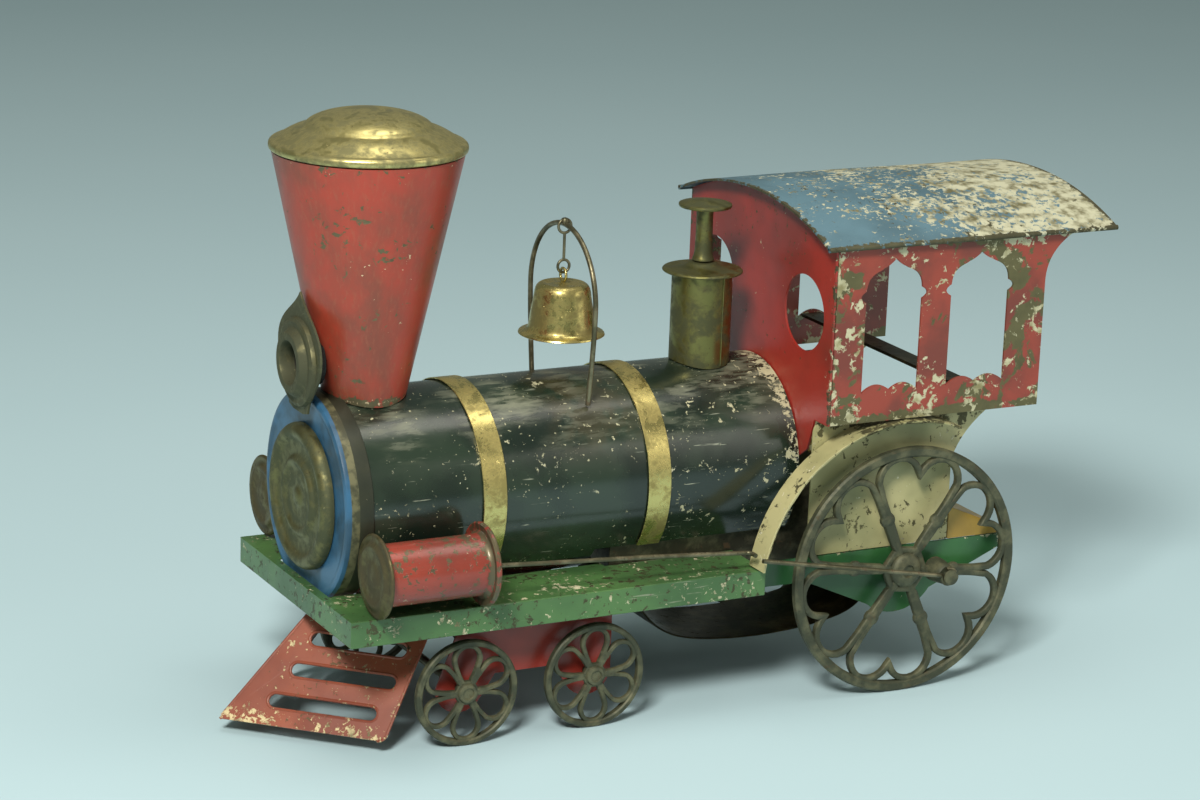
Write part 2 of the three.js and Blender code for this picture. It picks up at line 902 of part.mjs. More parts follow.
const truckTopZ = 39;
const truckTopFrontX = truckAxleX[0] + 1;
const truckSide = new THREE.Shape();
truckSide.moveTo(truckTopFrontX, truckTopZ);
truckSide.lineTo(truckAxleX[1] - 9, truckTopZ);
truckSide.lineTo(truckAxleX[1] - 9, truckRadius);
truckSide.absarc(truckAxleX[1], truckRadius, 9, Math.PI, 1.85 * Math.PI, false);
truckSide.lineTo(truckAxleX[1] + 13, 22);
truckSide.lineTo(truckAxleX[0] - 13, 22);
truckSide.absarc(truckAxleX[0], truckRadius, 9, 1.15 * Math.PI, 2 * Math.PI, false);
for (const x of truckAxleX) truckSide.holes.push(circleHole(x, truckRadius, arborRadius + gap));
const truckSheet = sideSheet(truckSide, truckSheetY, tin, 5);
const pivotRadius = 2;
add(
  "truck_frame",
  truckSheet
    .add(mirrored(truckSheet))
    .add(
      box(
        truckAxleX[1] - 9,
        truckTopFrontX,
        -truckSheetY,
        truckSheetY,
        truckTopZ - tin,
        truckTopZ,
      ),
    )
    .subtract(turnedZ(rod(pivotRadius + gap, 30, 50), 12, truckPivotX)),
  "red",
);
add(
  "truck_pivot",
  turnedZ(
    [
      [0, truckTopZ - tin - gap - 1.4],
      [4.4, truckTopZ - tin - gap - 1],
      [4.4, truckTopZ - tin - gap],
      [pivotRadius, truckTopZ - tin - gap],
      [pivotRadius, truckTopZ + gap],
      [5, truckTopZ + gap],
      [5, boilerZ - boilerRadius - 0.7],
      [0, boilerZ - boilerRadius - 0.7],
    ],
    14,
    truckPivotX,
  ),
  "steel",
);

// ---------- cowcatcher ----------
// One wing lies in the plane through the nose, its rear foot and the leaning ridge.
const nose = at(noseX, 0, 5);
const alongFoot = at(-43, 41.1, 0).normalize();
const ridge = at(-30.8, 0, 32.2);
const wingNormal = alongFoot.clone().cross(ridge).normalize();
const upWing = wingNormal.clone().cross(alongFoot);
const wing = new THREE.Shape();
wing.moveTo(-3, 0);
wing.lineTo(56.5, 0);
wing.quadraticCurveTo(59.2, 0, 59.6, 3.4);
wing.lineTo(67.8, 46);
wing.lineTo(22, 46);
wing.lineTo(-3, 6);
function wingSlot(from, to, height) {
  const half = 2.8;
  const slot = new THREE.Path();
  slot.absarc(from + half, height, half, 90 * degrees, 270 * degrees, false);
  slot.absarc(to - half, height, half, 270 * degrees, 450 * degrees, false);
  return slot;
}
wing.holes.push(wingSlot(15.5, 55, 8.7));
wing.holes.push(wingSlot(21, 59.4, 20.2));
wing.holes.push(wingSlot(25.5, 60.8, 31.6));
const wingPlace = new THREE.Matrix4()
  .makeBasis(alongFoot, upWing, wingNormal)
  .setPosition(nose.clone().addScaledVector(wingNormal, -tin));
const wingHalf = solid(extruded(wing, tin, 3).applyMatrix4(wingPlace)).intersect(
  box(150, 260, -0.05, 80, 0, 60),
);
add("cowcatcher", wingHalf.add(mirrored(wingHalf)), "dullRed");

// ---------- clockwork ----------
// Gears of one tooth size, given by the module: pitch radius over half the number of teeth.
const gearModule = 1.5;
const pitchRadius = (teeth) => (teeth * gearModule) / 2;
function gearShape(teeth, phase) {
  const pitch = 360 / teeth;
  const outer = pitchRadius(teeth) + 0.75 * gearModule;
  const inside = outer - toothDepth;
  const points = [];
  for (let i = 0; i < teeth; i += 1) {
    const middle = phase + i * pitch;
    for (const [r, offset] of [
      [inside, -0.26],
      [outer, -0.1],
      [outer, 0.1],
      [inside, 0.26],
    ]) {
      const turn = (middle + offset * pitch) * degrees;
      points.push([r * Math.cos(turn), r * Math.sin(turn)]);
    }
  }
  return polygon(points);
}
const gear = (teeth, phase, outerY, depth) => sideSheet(gearShape(teeth, phase), outerY, depth);

// Where two circles about a and b cross, on the upper side.
function crossing(a, ra, b, rb) {
  const dx = b.x - a.x;
  const dz = b.z - a.z;
  const d = Math.hypot(dx, dz);
  const along = (ra * ra - rb * rb + d * d) / (2 * d);
  const off = Math.sqrt(ra * ra - along * along);
  return {
    x: a.x + (along * dx) / d - (off * dz) / d,
    z: a.z + (along * dz) / d + (off * dx) / d,
  };
}
const heading = (a, b) => Math.atan2(b.z - a.z, b.x - a.x) / degrees;

const greatTeeth = 36;
const secondPinion = 11;
const secondTeeth = 24;
const thirdPinion = 9;
const thirdTeeth = 25;
const axleTeeth = 12;
const axle = { x: 0, z: axleZ };
const greatArbor = { x: windingX, z: windingZ };
const secondReach = pitchRadius(greatTeeth + secondPinion);
const secondHeading = 154 * degrees;
const secondArbor = {
  x: greatArbor.x + secondReach * Math.cos(secondHeading),
  z: greatArbor.z + secondReach * Math.sin(secondHeading),
};
const thirdArbor = crossing(
  axle,
  pitchRadius(thirdTeeth + axleTeeth),
  secondArbor,
  pitchRadius(secondTeeth + thirdPinion),
);
// A tooth of one gear points at the next arbor, and the next gear has a gap there.
const gapPhase = (teeth, from, to) => heading(from, to) + 180 / teeth;

const greatY = 20.4;
const secondY = 23;
const thirdY = -19;
const wheelDepth = 1.5;
const pinionDepth = 2;
const bossOf = (p, from, to, radius) => turnedY(rod(radius, from, to), 14, p.x, p.z);
const shiftTo = (body, p) => body.translate([p.x, 0, p.z]);

const squareHalf = 1.7;
const clickPin = 1;
const clickPlace = { x: greatArbor.x - 9.3, z: greatArbor.z + 9.3 };
const greatBore = turnedY(rod(3 + gap, -40, 40), 20, greatArbor.x, greatArbor.z);
add(
  "great_wheel",
  shiftTo(gear(greatTeeth, heading(greatArbor, secondArbor), greatY, wheelDepth), greatArbor)
    .subtract(greatBore)
    .subtract(bossOf(clickPlace, 0, 40, clickPin + gap)),
  "steel",
);
const ratchetTeeth = 12;
const ratchetPoints = Array.from({ length: ratchetTeeth * 2 }, (_, i) => {
  const turn = ((Math.floor(i / 2) + (i % 2 ? 0.9 : 0)) * 360 * degrees) / ratchetTeeth;
  const radius = i % 2 ? 4.8 : 6.4;
  return [radius * Math.cos(turn), radius * Math.sin(turn)];
});
const ratchetY = greatY + gap + 1.4;
add(
  "winding_arbor",
  wasm.Manifold.union([
    shiftTo(sideSheet(polygon(ratchetPoints), ratchetY, 1.4), greatArbor),
    bossOf(greatArbor, -movementY + gap, movementY - gap, 3),
    bossOf(greatArbor, -28, movementY + 2, arborRadius + 0.3),
    box(
      greatArbor.x - squareHalf,
      greatArbor.x + squareHalf,
      -40,
      -27,
      greatArbor.z - squareHalf,
      greatArbor.z + squareHalf,
    ),
  ]),
  "steel",
);
const click = new THREE.Shape();
click.moveTo(-1.5, 0);
click.absarc(0, 0, 1.5, 180 * degrees, 300 * degrees, false);
click.lineTo(5.6, -2.6);
click.lineTo(6.4, -0.4);
click.lineTo(1, 1.3);
add(
  "click",
  sideSheet(click, ratchetY, 1.4)
    .add(turnedY(rod(clickPin, greatY - wheelDepth, greatY + gap + 0.2), 10))
    .rotate([0, 20, 0])
    .translate([clickPlace.x, 0, clickPlace.z]),
  "steel",
);

const trainWheel = (arbor, parts) =>
  wasm.Manifold.union([
    bossOf(arbor, -movementY - 2.4, movementY + 2.4, arborRadius),
    ...parts.map(({ teeth, phase, outerY, depth }) =>
      shiftTo(gear(teeth, phase, outerY, depth), arbor),
    ),
  ]);
add(
  "second_wheel",
  trainWheel(secondArbor, [
    {
      teeth: secondPinion,
      phase: gapPhase(secondPinion, secondArbor, greatArbor),
      outerY: greatY + 0.3,
      depth: pinionDepth,
    },
    {
      teeth: secondTeeth,
      phase: heading(secondArbor, thirdArbor),
      outerY: secondY,
      depth: wheelDepth,
    },
  ]),
  "brass",
);
add(
  "third_wheel",
  trainWheel(thirdArbor, [
    {
      teeth: thirdPinion,
      phase: gapPhase(thirdPinion, thirdArbor, secondArbor),
      outerY: secondY + 0.2,
      depth: pinionDepth,
    },
    {
      teeth: thirdTeeth,
      phase: heading(thirdArbor, axle),
      outerY: thirdY,
      depth: wheelDepth,
    },
  ]),
  "brass",
);
add(
  "axle_gear",
  shiftTo(gear(axleTeeth, gapPhase(axleTeeth, axle, thirdArbor), thirdY + 0.4, 2.4), axle).subtract(
    turnedY(rod(axleRadius + gap, -40, 40), 20, 0, axleZ),
  ),
  "brass",
);

const movementShape = polygon([
  [-16, 27],
  [-3, 27],
  [14, 40],
  [105, 40],
  [105, 66],
  [88, 84],
  [34, 88],
  [-4, 66],
  [-16, 54],
]);
const arbors = [
  [axle, axleRadius],
  [greatArbor, arborRadius + 0.3],
  [secondArbor, arborRadius],
  [thirdArbor, arborRadius],
];
const pillarPlaces = [
  { x: -10, z: 33 },
  { x: 101, z: 44 },
];
for (const [p, radius] of arbors) movementShape.holes.push(circleHole(p.x, p.z, radius + gap));
for (const p of pillarPlaces) movementShape.holes.push(circleHole(p.x, p.z, arborRadius + gap));
addPair("movement_plate", sideSheet(movementShape, movementY + tin, tin, 5), "steel");
pillarPlaces.forEach((p, i) => {
  add(
    ["pillar_rear", "pillar_front"][i],
    turnedY(
      [
        [0, -movementY - 2],
        [arborRadius, -movementY - 2],
        [arborRadius, -movementY + gap],
        [2.6, -movementY + gap],
        [2.6, movementY - gap],
        [arborRadius, movementY - gap],
        [arborRadius, movementY + 2],
        [0, movementY + 2],
      ],
      14,
      p.x,
      p.z,
    ),
    "steel",
  );
});

// The mainspring: a few turns about the arbor, then one wide loop below the frame to the rear pillar.
const springTurns = 3.5;
const coilSteps = springTurns * 16;
const coil = Array.from({ length: coilSteps + 1 }, (_, i) => {
  const share = i / coilSteps;
  const turn = (1 - share) * springTurns * 2 * Math.PI;
  const radius = 5 + share * 16;
  return new THREE.Vector2(
    greatArbor.x + radius * Math.cos(turn),
    greatArbor.z + radius * Math.sin(turn),
  );
});
const looseLoop = new THREE.SplineCurve([
  coil[coil.length - 1],
  new THREE.Vector2(92, 42),
  new THREE.Vector2(86.5, 29),
  new THREE.Vector2(74, 19.5),
  new THREE.Vector2(52, 15.8),
  new THREE.Vector2(26, 16),
  new THREE.Vector2(4, 20),
  new THREE.Vector2(-7.4, 29),
]).getPoints(20);
const springLine = [...coil, ...looseLoop.slice(1)];
const springShape = new THREE.Shape([
  ...offsetLoop(springLine, 0.4, false),
  ...offsetLoop(springLine, -0.4, false).reverse(),
]);
add("mainspring", sideSheet(springShape, springHalfWidth, 2 * springHalfWidth), "steel");

root.position.x = -(noseX + roofRearX) / 2;
export default root;
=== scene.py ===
"""A painted-tin clockwork toy locomotive: its looks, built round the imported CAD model.

Shapes are worked out in millimetres from the driving axle (+X front, +Y left, +Z up), as a draughtsman
would, and piece() turns them into metres in the model's own frame."""
import json
import math

import bmesh
import bpy
from mathutils import Matrix, Vector
from mathutils.geometry import tessellate_polygon


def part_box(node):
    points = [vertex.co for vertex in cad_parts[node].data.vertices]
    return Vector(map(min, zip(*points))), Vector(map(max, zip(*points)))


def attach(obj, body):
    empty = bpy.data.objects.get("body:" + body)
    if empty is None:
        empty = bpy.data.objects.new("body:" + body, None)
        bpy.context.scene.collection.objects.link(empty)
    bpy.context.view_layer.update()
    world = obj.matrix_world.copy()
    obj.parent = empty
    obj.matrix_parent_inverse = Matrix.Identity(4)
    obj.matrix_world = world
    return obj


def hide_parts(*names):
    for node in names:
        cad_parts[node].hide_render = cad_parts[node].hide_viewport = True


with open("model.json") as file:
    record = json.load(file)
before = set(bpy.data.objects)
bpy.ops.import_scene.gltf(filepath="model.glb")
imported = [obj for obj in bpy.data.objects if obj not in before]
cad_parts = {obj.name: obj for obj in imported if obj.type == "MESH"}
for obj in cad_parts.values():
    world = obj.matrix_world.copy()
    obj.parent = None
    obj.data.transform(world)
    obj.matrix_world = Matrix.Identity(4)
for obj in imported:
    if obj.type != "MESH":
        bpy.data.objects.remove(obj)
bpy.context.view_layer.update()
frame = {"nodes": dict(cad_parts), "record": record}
scene = bpy.context.scene

MM = 0.001
axle_low, axle_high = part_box("driver_axle")
AXLE_X = (axle_low.x + axle_high.x) / 2
BODY_OF = {node: body for body, nodes in frame["record"]["behaviour"]["bodies"].items() for node in nodes}


def at(x, y, z):
    return Vector((AXLE_X + x * MM, y * MM, z * MM))


# ---- sizes
TIN = 0.8
GAP = 0.35
WIRE_RADIUS = 0.8
STUD_NECK = 1.6
DRIVER_RADIUS = 45
DRIVER_FACE = 50.4
DRIVER_THICK = 3.4
CRANK = 13.6
CRANK_ANGLE = math.radians(187)
CRANK_X = CRANK * math.cos(CRANK_ANGLE)
CRANK_Z = DRIVER_RADIUS + CRANK * math.sin(CRANK_ANGLE)
HEART_PHASE = 37
TRUCK_RADIUS = 18.6
TRUCK_FACE = 42.7
TRUCK_THICK = 3
TRUCK_AXLES = {"front": 166, "rear": 118}
BOILER_RADIUS = 34.7
BOILER_Z = 80.3
BOILER_FRONT = 206.9
BAND_WIDTH = 8.6
STACK_X = 187.4
STACK_TOP = 197
STACK_FOOT = 112.7
STACK_FOOT_RADIUS = 13.8
STACK_SLOPE = 0.2178
DOME_X = 59.5
BELL_X = 114
BELL_LIP = 128.4
LAMP_X = 210.4
LAMP_Z = 127
CAB_FRONT = 36.5
CAB_REAR = -49.5
CAB_HALF = 51.5
CAB_FOOT = 101.5
ROOF_RADIUS = 133
ROOF_RIDGE = 176
ROOF_HALF = 53.6
ROOF_FRONT = 40.8
ROOF_REAR = -77
CYLINDER_REAR = 165
CYLINDER_Y = 48.4
CYLINDER_Z = 66
NOSE_X = 238.4

# ---- working values
SAME_SPOT = 2e-6
SHARP_ANGLE = math.radians(38)
CREASE_ANGLE = math.radians(32)
BEVEL_ANGLE = math.radians(50)


# ---- shapes: (points, faces) in millimetres
def join(*shapes):
    points, faces = [], []
    for some_points, some_faces in shapes:
        base = len(points)
        points.extend(some_points)
        faces.extend(tuple(i + base for i in face) for face in some_faces)
    return points, faces


def as_drawn(shape):
    return shape


def flipped(shape):
    """The same shape on the other side of the train."""
    points, faces = shape
    return [(x, -y, z) for x, y, z in points], faces


SIDES = (("left", as_drawn), ("right", flipped))


def shifted(shape, x=0, y=0, z=0):
    points, faces = shape
    return [(a + x, b + y, c + z) for a, b, c in points], faces


def soften(points, rounds=2):
    """Cuts the corners of a line again and again, which rounds them."""
    for _ in range(rounds):
        cut = [points[0]]
        for p, q in zip(points, points[1:]):
            cut.append(tuple(0.75 * a + 0.25 * b for a, b in zip(p, q)))
            cut.append(tuple(0.25 * a + 0.75 * b for a, b in zip(p, q)))
        points = cut + [points[-1]]
    return points


def lathe(profile, axis="z", centre=(0, 0, 0), turns=96, start=0, sweep=360):
    """A body turned about an axis. The profile holds (radius, distance along the axis)."""
    whole = sweep >= 360
    count = turns if whole else turns + 1
    points, rings, faces = [], [], []
    for radius, height in profile:
        ring = []
        for i in range(count if radius > 1e-6 else 1):
            angle = math.radians(start + sweep * i / turns)
            c, s = radius * math.cos(angle), radius * math.sin(angle)
            local = {"x": (height, c, s), "y": (c, height, s), "z": (c, s, height)}[axis]
            ring.append(len(points))
            points.append(tuple(a + b for a, b in zip(centre, local)))
        rings.append(ring)
    for a, b in zip(rings, rings[1:]):
        if len(a) == 1 and len(b) == 1:
            continue
        for i in range(turns):
            j = (i + 1) % count
            if len(a) == 1:
                faces.append((a[0], b[i], b[j]))
            elif len(b) == 1:
                faces.append((a[i], b[0], a[j]))
            else:
                faces.append((a[i], b[i], b[j], a[j]))
    if not whole:
        faces.append(tuple(ring[0] for ring in rings))
        faces.append(tuple(ring[-1] for ring in reversed(rings)))
    return points, faces


def skin(sections, sides, closed):
    """The faces of a bar whose points come in sections, each a ring of as many points as it has sides."""
    last = sections - 1
    faces = []
    for i in range(sections if closed else last):
        a, b = i * sides, (i + 1) % sections * sides
        for k in range(sides):
            j = (k + 1) % sides
            faces.append((a + k, a + j, b + j, b + k))
    if not closed:
        faces.append(tuple(range(sides - 1, -1, -1)))
        faces.append(tuple(range(last * sides, (last + 1) * sides)))
    return faces


def tube(path, radius, sides=14, closed=False, up=None):
    """Round wire along a path."""
    path = [Vector(p) for p in path]
    last = len(path) - 1
    points = []
    normal = Vector(up) if up else None
    for i, p in enumerate(path):
        before = path[i - 1] if closed or i else p
        after = path[(i + 1) % len(path)] if closed or i < last else p
        along = (after - before).normalized()
        normal = along.orthogonal() if normal is None else normal - along * normal.dot(along)
        normal.normalize()
        side = along.cross(normal)
        for k in range(sides):
            angle = 2 * math.pi * k / sides
            points.append(tuple(p + radius * (math.cos(angle) * normal + math.sin(angle) * side)))
    return points, skin(len(path), sides, closed)


def smooth_path(knots, steps=8):
    """A smooth line through some points."""
    knots = [Vector(k) for k in knots]
    ends = [2 * knots[0] - knots[1]] + knots + [2 * knots[-1] - knots[-2]]
    path = []
    for p0, p1, p2, p3 in zip(ends, ends[1:], ends[2:], ends[3:]):
        for i in range(steps):
            t = i / steps
            path.append(
                0.5 * (2 * p1 + (p2 - p0) * t + (2 * p0 - 5 * p1 + 4 * p2 - p3) * t**2
                       + (3 * p1 - p0 - 3 * p2 + p3) * t**3)
            )
    return path + [knots[-1]]


def rib(path, half_width, half_depth, y, closed=True, sides=14, power=0.55):
    """A cast bar with rounded edges, along a path of (x, z) points in an upright plane."""
    def rounded(v):
        return math.copysign(abs(v) ** power, v)

    turns = [2 * math.pi * k / sides for k in range(sides)]
    section = [(half_width * rounded(math.cos(a)), half_depth * rounded(math.sin(a))) for a in turns]
    last = len(path) - 1
    points = []
    for i, (x, z) in enumerate(path):
        before = path[i - 1] if closed or i else path[i]
        after = path[(i + 1) % len(path)] if closed or i < last else path[i]
        dx, dz = after[0] - before[0], after[1] - before[1]
        size = math.hypot(dx, dz)
        points.extend((x + u * dz / size, y + v, z - u * dx / size) for u, v in section)
    return points, skin(len(path), sides, closed)


def sheet(outline, place, holes=(), thick=TIN):
    """A flat sheet. place(u, v, w) gives the point at (u, v) and depth w, from 0 to thick."""
    loops = [list(outline), *[list(hole) for hole in holes]]
    flat = [(u, v) for loop in loops for u, v in loop]
    triangles = tessellate_polygon([[Vector((u, v, 0)) for u, v in loop] for loop in loops])
    count = len(flat)
    points = [place(u, v, 0) for u, v in flat] + [place(u, v, thick) for u, v in flat]
    faces = [tuple(t) for t in triangles]
    faces += [tuple(i + count for i in reversed(t)) for t in triangles]
    base = 0
    for loop in loops:
        size = len(loop)
        for i in range(size):
            a, b = base + i, base + (i + 1) % size
            faces.append((a, b, b + count, a + count))
        base += size
    return points, faces


def side_place(outer_y):
    """For a sheet that stands along the train, u forwards and v upwards."""
    return lambda u, v, w: (u, outer_y - w, v)


def cross_place(rear_x):
    """For a sheet that stands across the train, u to the left and v upwards."""
    return lambda u, v, w: (rear_x + w, u, v)


class Pen:
    """Draws an outline from lines and curves."""

    def __init__(self, u, v):
        self.points = [(u, v)]

    def line(self, u, v):
        self.points.append((u, v))
        return self

    def curve(self, *knots, steps=10):
        p = [self.points[-1], *knots]
        order = len(p) - 1
        for i in range(1, steps + 1):
            t = i / steps
            share = [math.comb(order, k) * (1 - t) ** (order - k) * t**k for k in range(order + 1)]
            self.points.append(tuple(sum(s * q[axis] for s, q in zip(share, p)) for axis in (0, 1)))
        return self


def arc(centre, radius, start, end, steps):
    turns = [math.radians(start + (end - start) * i / steps) for i in range(steps + 1)]
    return [(centre[0] + radius * math.cos(t), centre[1] + radius * math.sin(t)) for t in turns]


def circle(u, v, radius, steps):
    return arc((u, v), radius, 0, 360, steps)[:-1]


def ring_profile(inner, outer, low, high, corner):
    """The closed profile of a ring with rounded corners."""
    c = corner
    return [(inner + c, low), (outer - c, low), (outer, low + c), (outer, high - c), (outer - c, high),
            (inner + c, high), (inner, high - c), (inner, low + c), (inner + c, low)]


# ---- pieces
def soft_edges(made, width):
    """Bevels the sharp edges by a width in millimetres."""
    cut = made.modifiers.new("edges", "BEVEL")
    cut.width = width * MM
    cut.segments = 2
    cut.limit_method = "ANGLE"
    cut.angle_limit = BEVEL_ANGLE
    cut.harden_normals = True


def piece(name, shape, look, node, bevel=0.0):
    """One visible piece that stands for a CAD node and rides on its body."""
    points, faces = shape
    mesh = bpy.data.meshes.new(name)
    mesh.from_pydata([at(*p) for p in points], [], faces)
    work = bmesh.new()
    work.from_mesh(mesh)
    bmesh.ops.remove_doubles(work, verts=work.verts, dist=SAME_SPOT)
    bmesh.ops.recalc_face_normals(work, faces=work.faces)
    work.to_mesh(mesh)
    work.free()
    mesh.polygons.foreach_set("use_smooth", [True] * len(mesh.polygons))
    mesh.set_sharp_from_angle(angle=SHARP_ANGLE)
    made = bpy.data.objects.new(name, mesh)
    scene.collection.objects.link(made)
    made.data.materials.append(looks[look])
    if bevel:
        soft_edges(made, bevel)
    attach(made, BODY_OF[node])
    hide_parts(node)


def rounding_group():
    """Geometry nodes that join a CAD node's facets and shade its round faces smooth."""
    group = bpy.data.node_groups.new("round_faces", "GeometryNodeTree")
    group.interface.new_socket("Geometry", in_out="INPUT", socket_type="NodeSocketGeometry")
    group.interface.new_socket("Geometry", in_out="OUTPUT", socket_type="NodeSocketGeometry")
    add = group.nodes.new
    start, end = add("NodeGroupInput"), add("NodeGroupOutput")
    drop = add("GeometryNodeRemoveAttribute")
    drop.inputs["Name"].default_value = "custom_normal"
    merge = add("GeometryNodeMergeByDistance")
    merge.inputs["Distance"].default_value = SAME_SPOT
    smooth = add("GeometryNodeSetShadeSmooth")
    crease = add("GeometryNodeSetShadeSmooth")
    crease.domain = "EDGE"
    crease.inputs["Shade Smooth"].default_value = False
    angle = add("GeometryNodeInputMeshEdgeAngle")
    above = add("FunctionNodeCompare")
    above.data_type = "FLOAT"
    above.operation = "GREATER_THAN"
    above.inputs[1].default_value = CREASE_ANGLE
    for a, b in (
        (start.outputs[0], drop.inputs["Geometry"]),
        (drop.outputs[0], merge.inputs["Geometry"]),
        (merge.outputs[0], smooth.inputs["Geometry"]),
        (smooth.outputs[0], crease.inputs["Geometry"]),
        (angle.outputs["Unsigned Angle"], above.inputs[0]),
        (above.outputs[0], crease.inputs["Selection"]),
        (crease.outputs[0], end.inputs[0]),
    ):
        group.links.new(a, b)
    return group


ROUND_FACES = rounding_group()


def keep(node, look, bevel=0.15):
    """A CAD node whose shape is right stays, with softened edges and its own material."""
    kept = frame["nodes"][node]
    kept.data.materials.clear()
    kept.data.materials.append(looks[look])
    kept.modifiers.new("round_faces", "NODES").node_group = ROUND_FACES
    if bevel:
        soft_edges(kept, bevel)


# ---- materials
def rgb(red, green, blue):
    """A colour as seen on a screen, from 0 to 255, made linear."""
    def linear(v):
        v /= 255
        return v / 12.92 if v <= 0.04045 else ((v + 0.055) / 1.055) ** 2.4

    return (linear(red), linear(green), linear(blue), 1)


CREAM = rgb(196, 192, 160)
OLIVE = rgb(96, 92, 62)
DARK_METAL = rgb(62, 60, 46)
RAGGED = (8, 0.68, 0.4)


class Finish:
    """A material in the making, with short calls for the shader nodes that they all use."""

    seed = 0

    def __init__(self, name):
        Finish.seed += 1
        self.material = bpy.data.materials.new(name)
        self.material.use_nodes = True
        self.tree = self.material.node_tree
        self.shader = self.tree.nodes["Principled BSDF"]
        self.raw = self.add("ShaderNodeTexCoord").outputs["Object"]
        self.axes = self.add("ShaderNodeSeparateXYZ", ((0, self.raw),))
        self.place = self.stretched((1, 1, 1), self.raw, 0.37 * Finish.seed)

    def add(self, kind, sockets=(), **settings):
        """A new node, with its settings and the values or links of its input sockets."""
        node = self.tree.nodes.new(kind)
        for key, value in settings.items():
            setattr(node, key, value)
        for key, value in sockets:
            self.put(node.inputs[key], value)
        return node

    def put(self, socket, value):
        """Links an output to a socket, or sets a plain value on it."""
        if isinstance(value, bpy.types.NodeSocket):
            self.tree.links.new(value, socket)
        else:
            socket.default_value = value

    def stretched(self, scale, source=None, offset=0.0):
        shift = (offset, -offset, offset * 0.7)
        sockets = (("Vector", source or self.place), ("Scale", scale), ("Location", shift))
        return self.add("ShaderNodeMapping", sockets).outputs[0]

    def noise(self, size, detail=3.0, rough=0.55, warp=0.0, place=None):
        """Clouds about size millimetres across, around a mean of one half."""
        sockets = (("Vector", place or self.place), ("Scale", 1000 / size), ("Detail", detail),
                   ("Roughness", rough), ("Distortion", warp))
        return self.add("ShaderNodeTexNoise", sockets).outputs[0]

    def step(self, value, low, high):
        sockets = (("Value", value), ("From Min", low), ("From Max", high))
        return self.add("ShaderNodeMapRange", sockets, interpolation_type="SMOOTHSTEP").outputs[0]

    def maths(self, operation, a, b=0.0):
        return self.add("ShaderNodeMath", ((0, a), (1, b)), operation=operation).outputs[0]

    def times(self, a, b):
        return self.maths("MULTIPLY", a, b)

    def total(self, *terms):
        """A sum of (value, weight) pairs."""
        made = self.times(*terms[0])
        for term in terms[1:]:
            made = self.maths("ADD", made, self.times(*term))
        return made

    def mix(self, share, a, b):
        return self.add("ShaderNodeMix", ((0, share), (6, a), (7, b)), data_type="RGBA").outputs[2]

    def patches(self, blob, cluster, level, *more):
        """Ragged patches in clusters: the lower the level, the more. more holds (place, weight) pairs."""
        size, weight = cluster
        clouds = self.total((self.noise(*blob), 1.0), (self.noise(size, 2), weight), *more)
        return self.step(clouds, level, level + 0.02)

    def past(self, axis, edge, soft):
        """1 beyond a plane at edge millimetres and 0 before it. A negative soft turns it round."""
        base = AXLE_X if axis == 0 else 0
        middle = base + edge * MM
        along, blur = self.axes.outputs[axis], soft * MM
        if soft < 0:
            return self.step(self.times(along, -1), -middle + blur, -middle - blur)
        return self.step(along, middle - blur, middle + blur)

    def between(self, axis, low, high, soft):
        """1 in the slab from low to high millimetres, 0 outside it."""
        return self.times(self.past(axis, low, soft), self.past(axis, high, -soft))

    def near_edges(self, node, axes, width):
        """1 at the sides of a CAD node's box along some axes, fading to 0 in width millimetres."""
        low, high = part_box(node)
        nearest = None
        for axis in axes:
            for side, sign in ((low, 1), (high, -1)):
                inward = self.maths("SUBTRACT", self.axes.outputs[axis], side[axis])
                gap = self.times(inward, sign)
                nearest = gap if nearest is None else self.maths("MINIMUM", nearest, gap)
        return self.step(self.times(nearest, -1), -width * MM, 0)

    def surface(self, colour, rough, metal, height=None, depth=0.05, strength=0.6, coat=0.0):
        """Finishes the material. The bump is depth millimetres deep."""
        for key, value in (("Base Color", colour), ("Roughness", rough), ("Metallic", metal)):
            self.put(self.shader.inputs[key], value)
        if coat:
            self.shader.inputs["Coat Weight"].default_value = coat
            self.shader.inputs["Coat Roughness"].default_value = 0.18
        if height is not None:
            sockets = (("Strength", strength), ("Distance", depth * MM), ("Height", height))
            self.put(self.shader.inputs["Normal"], self.add("ShaderNodeBump", sockets).outputs[0])
        return self.material


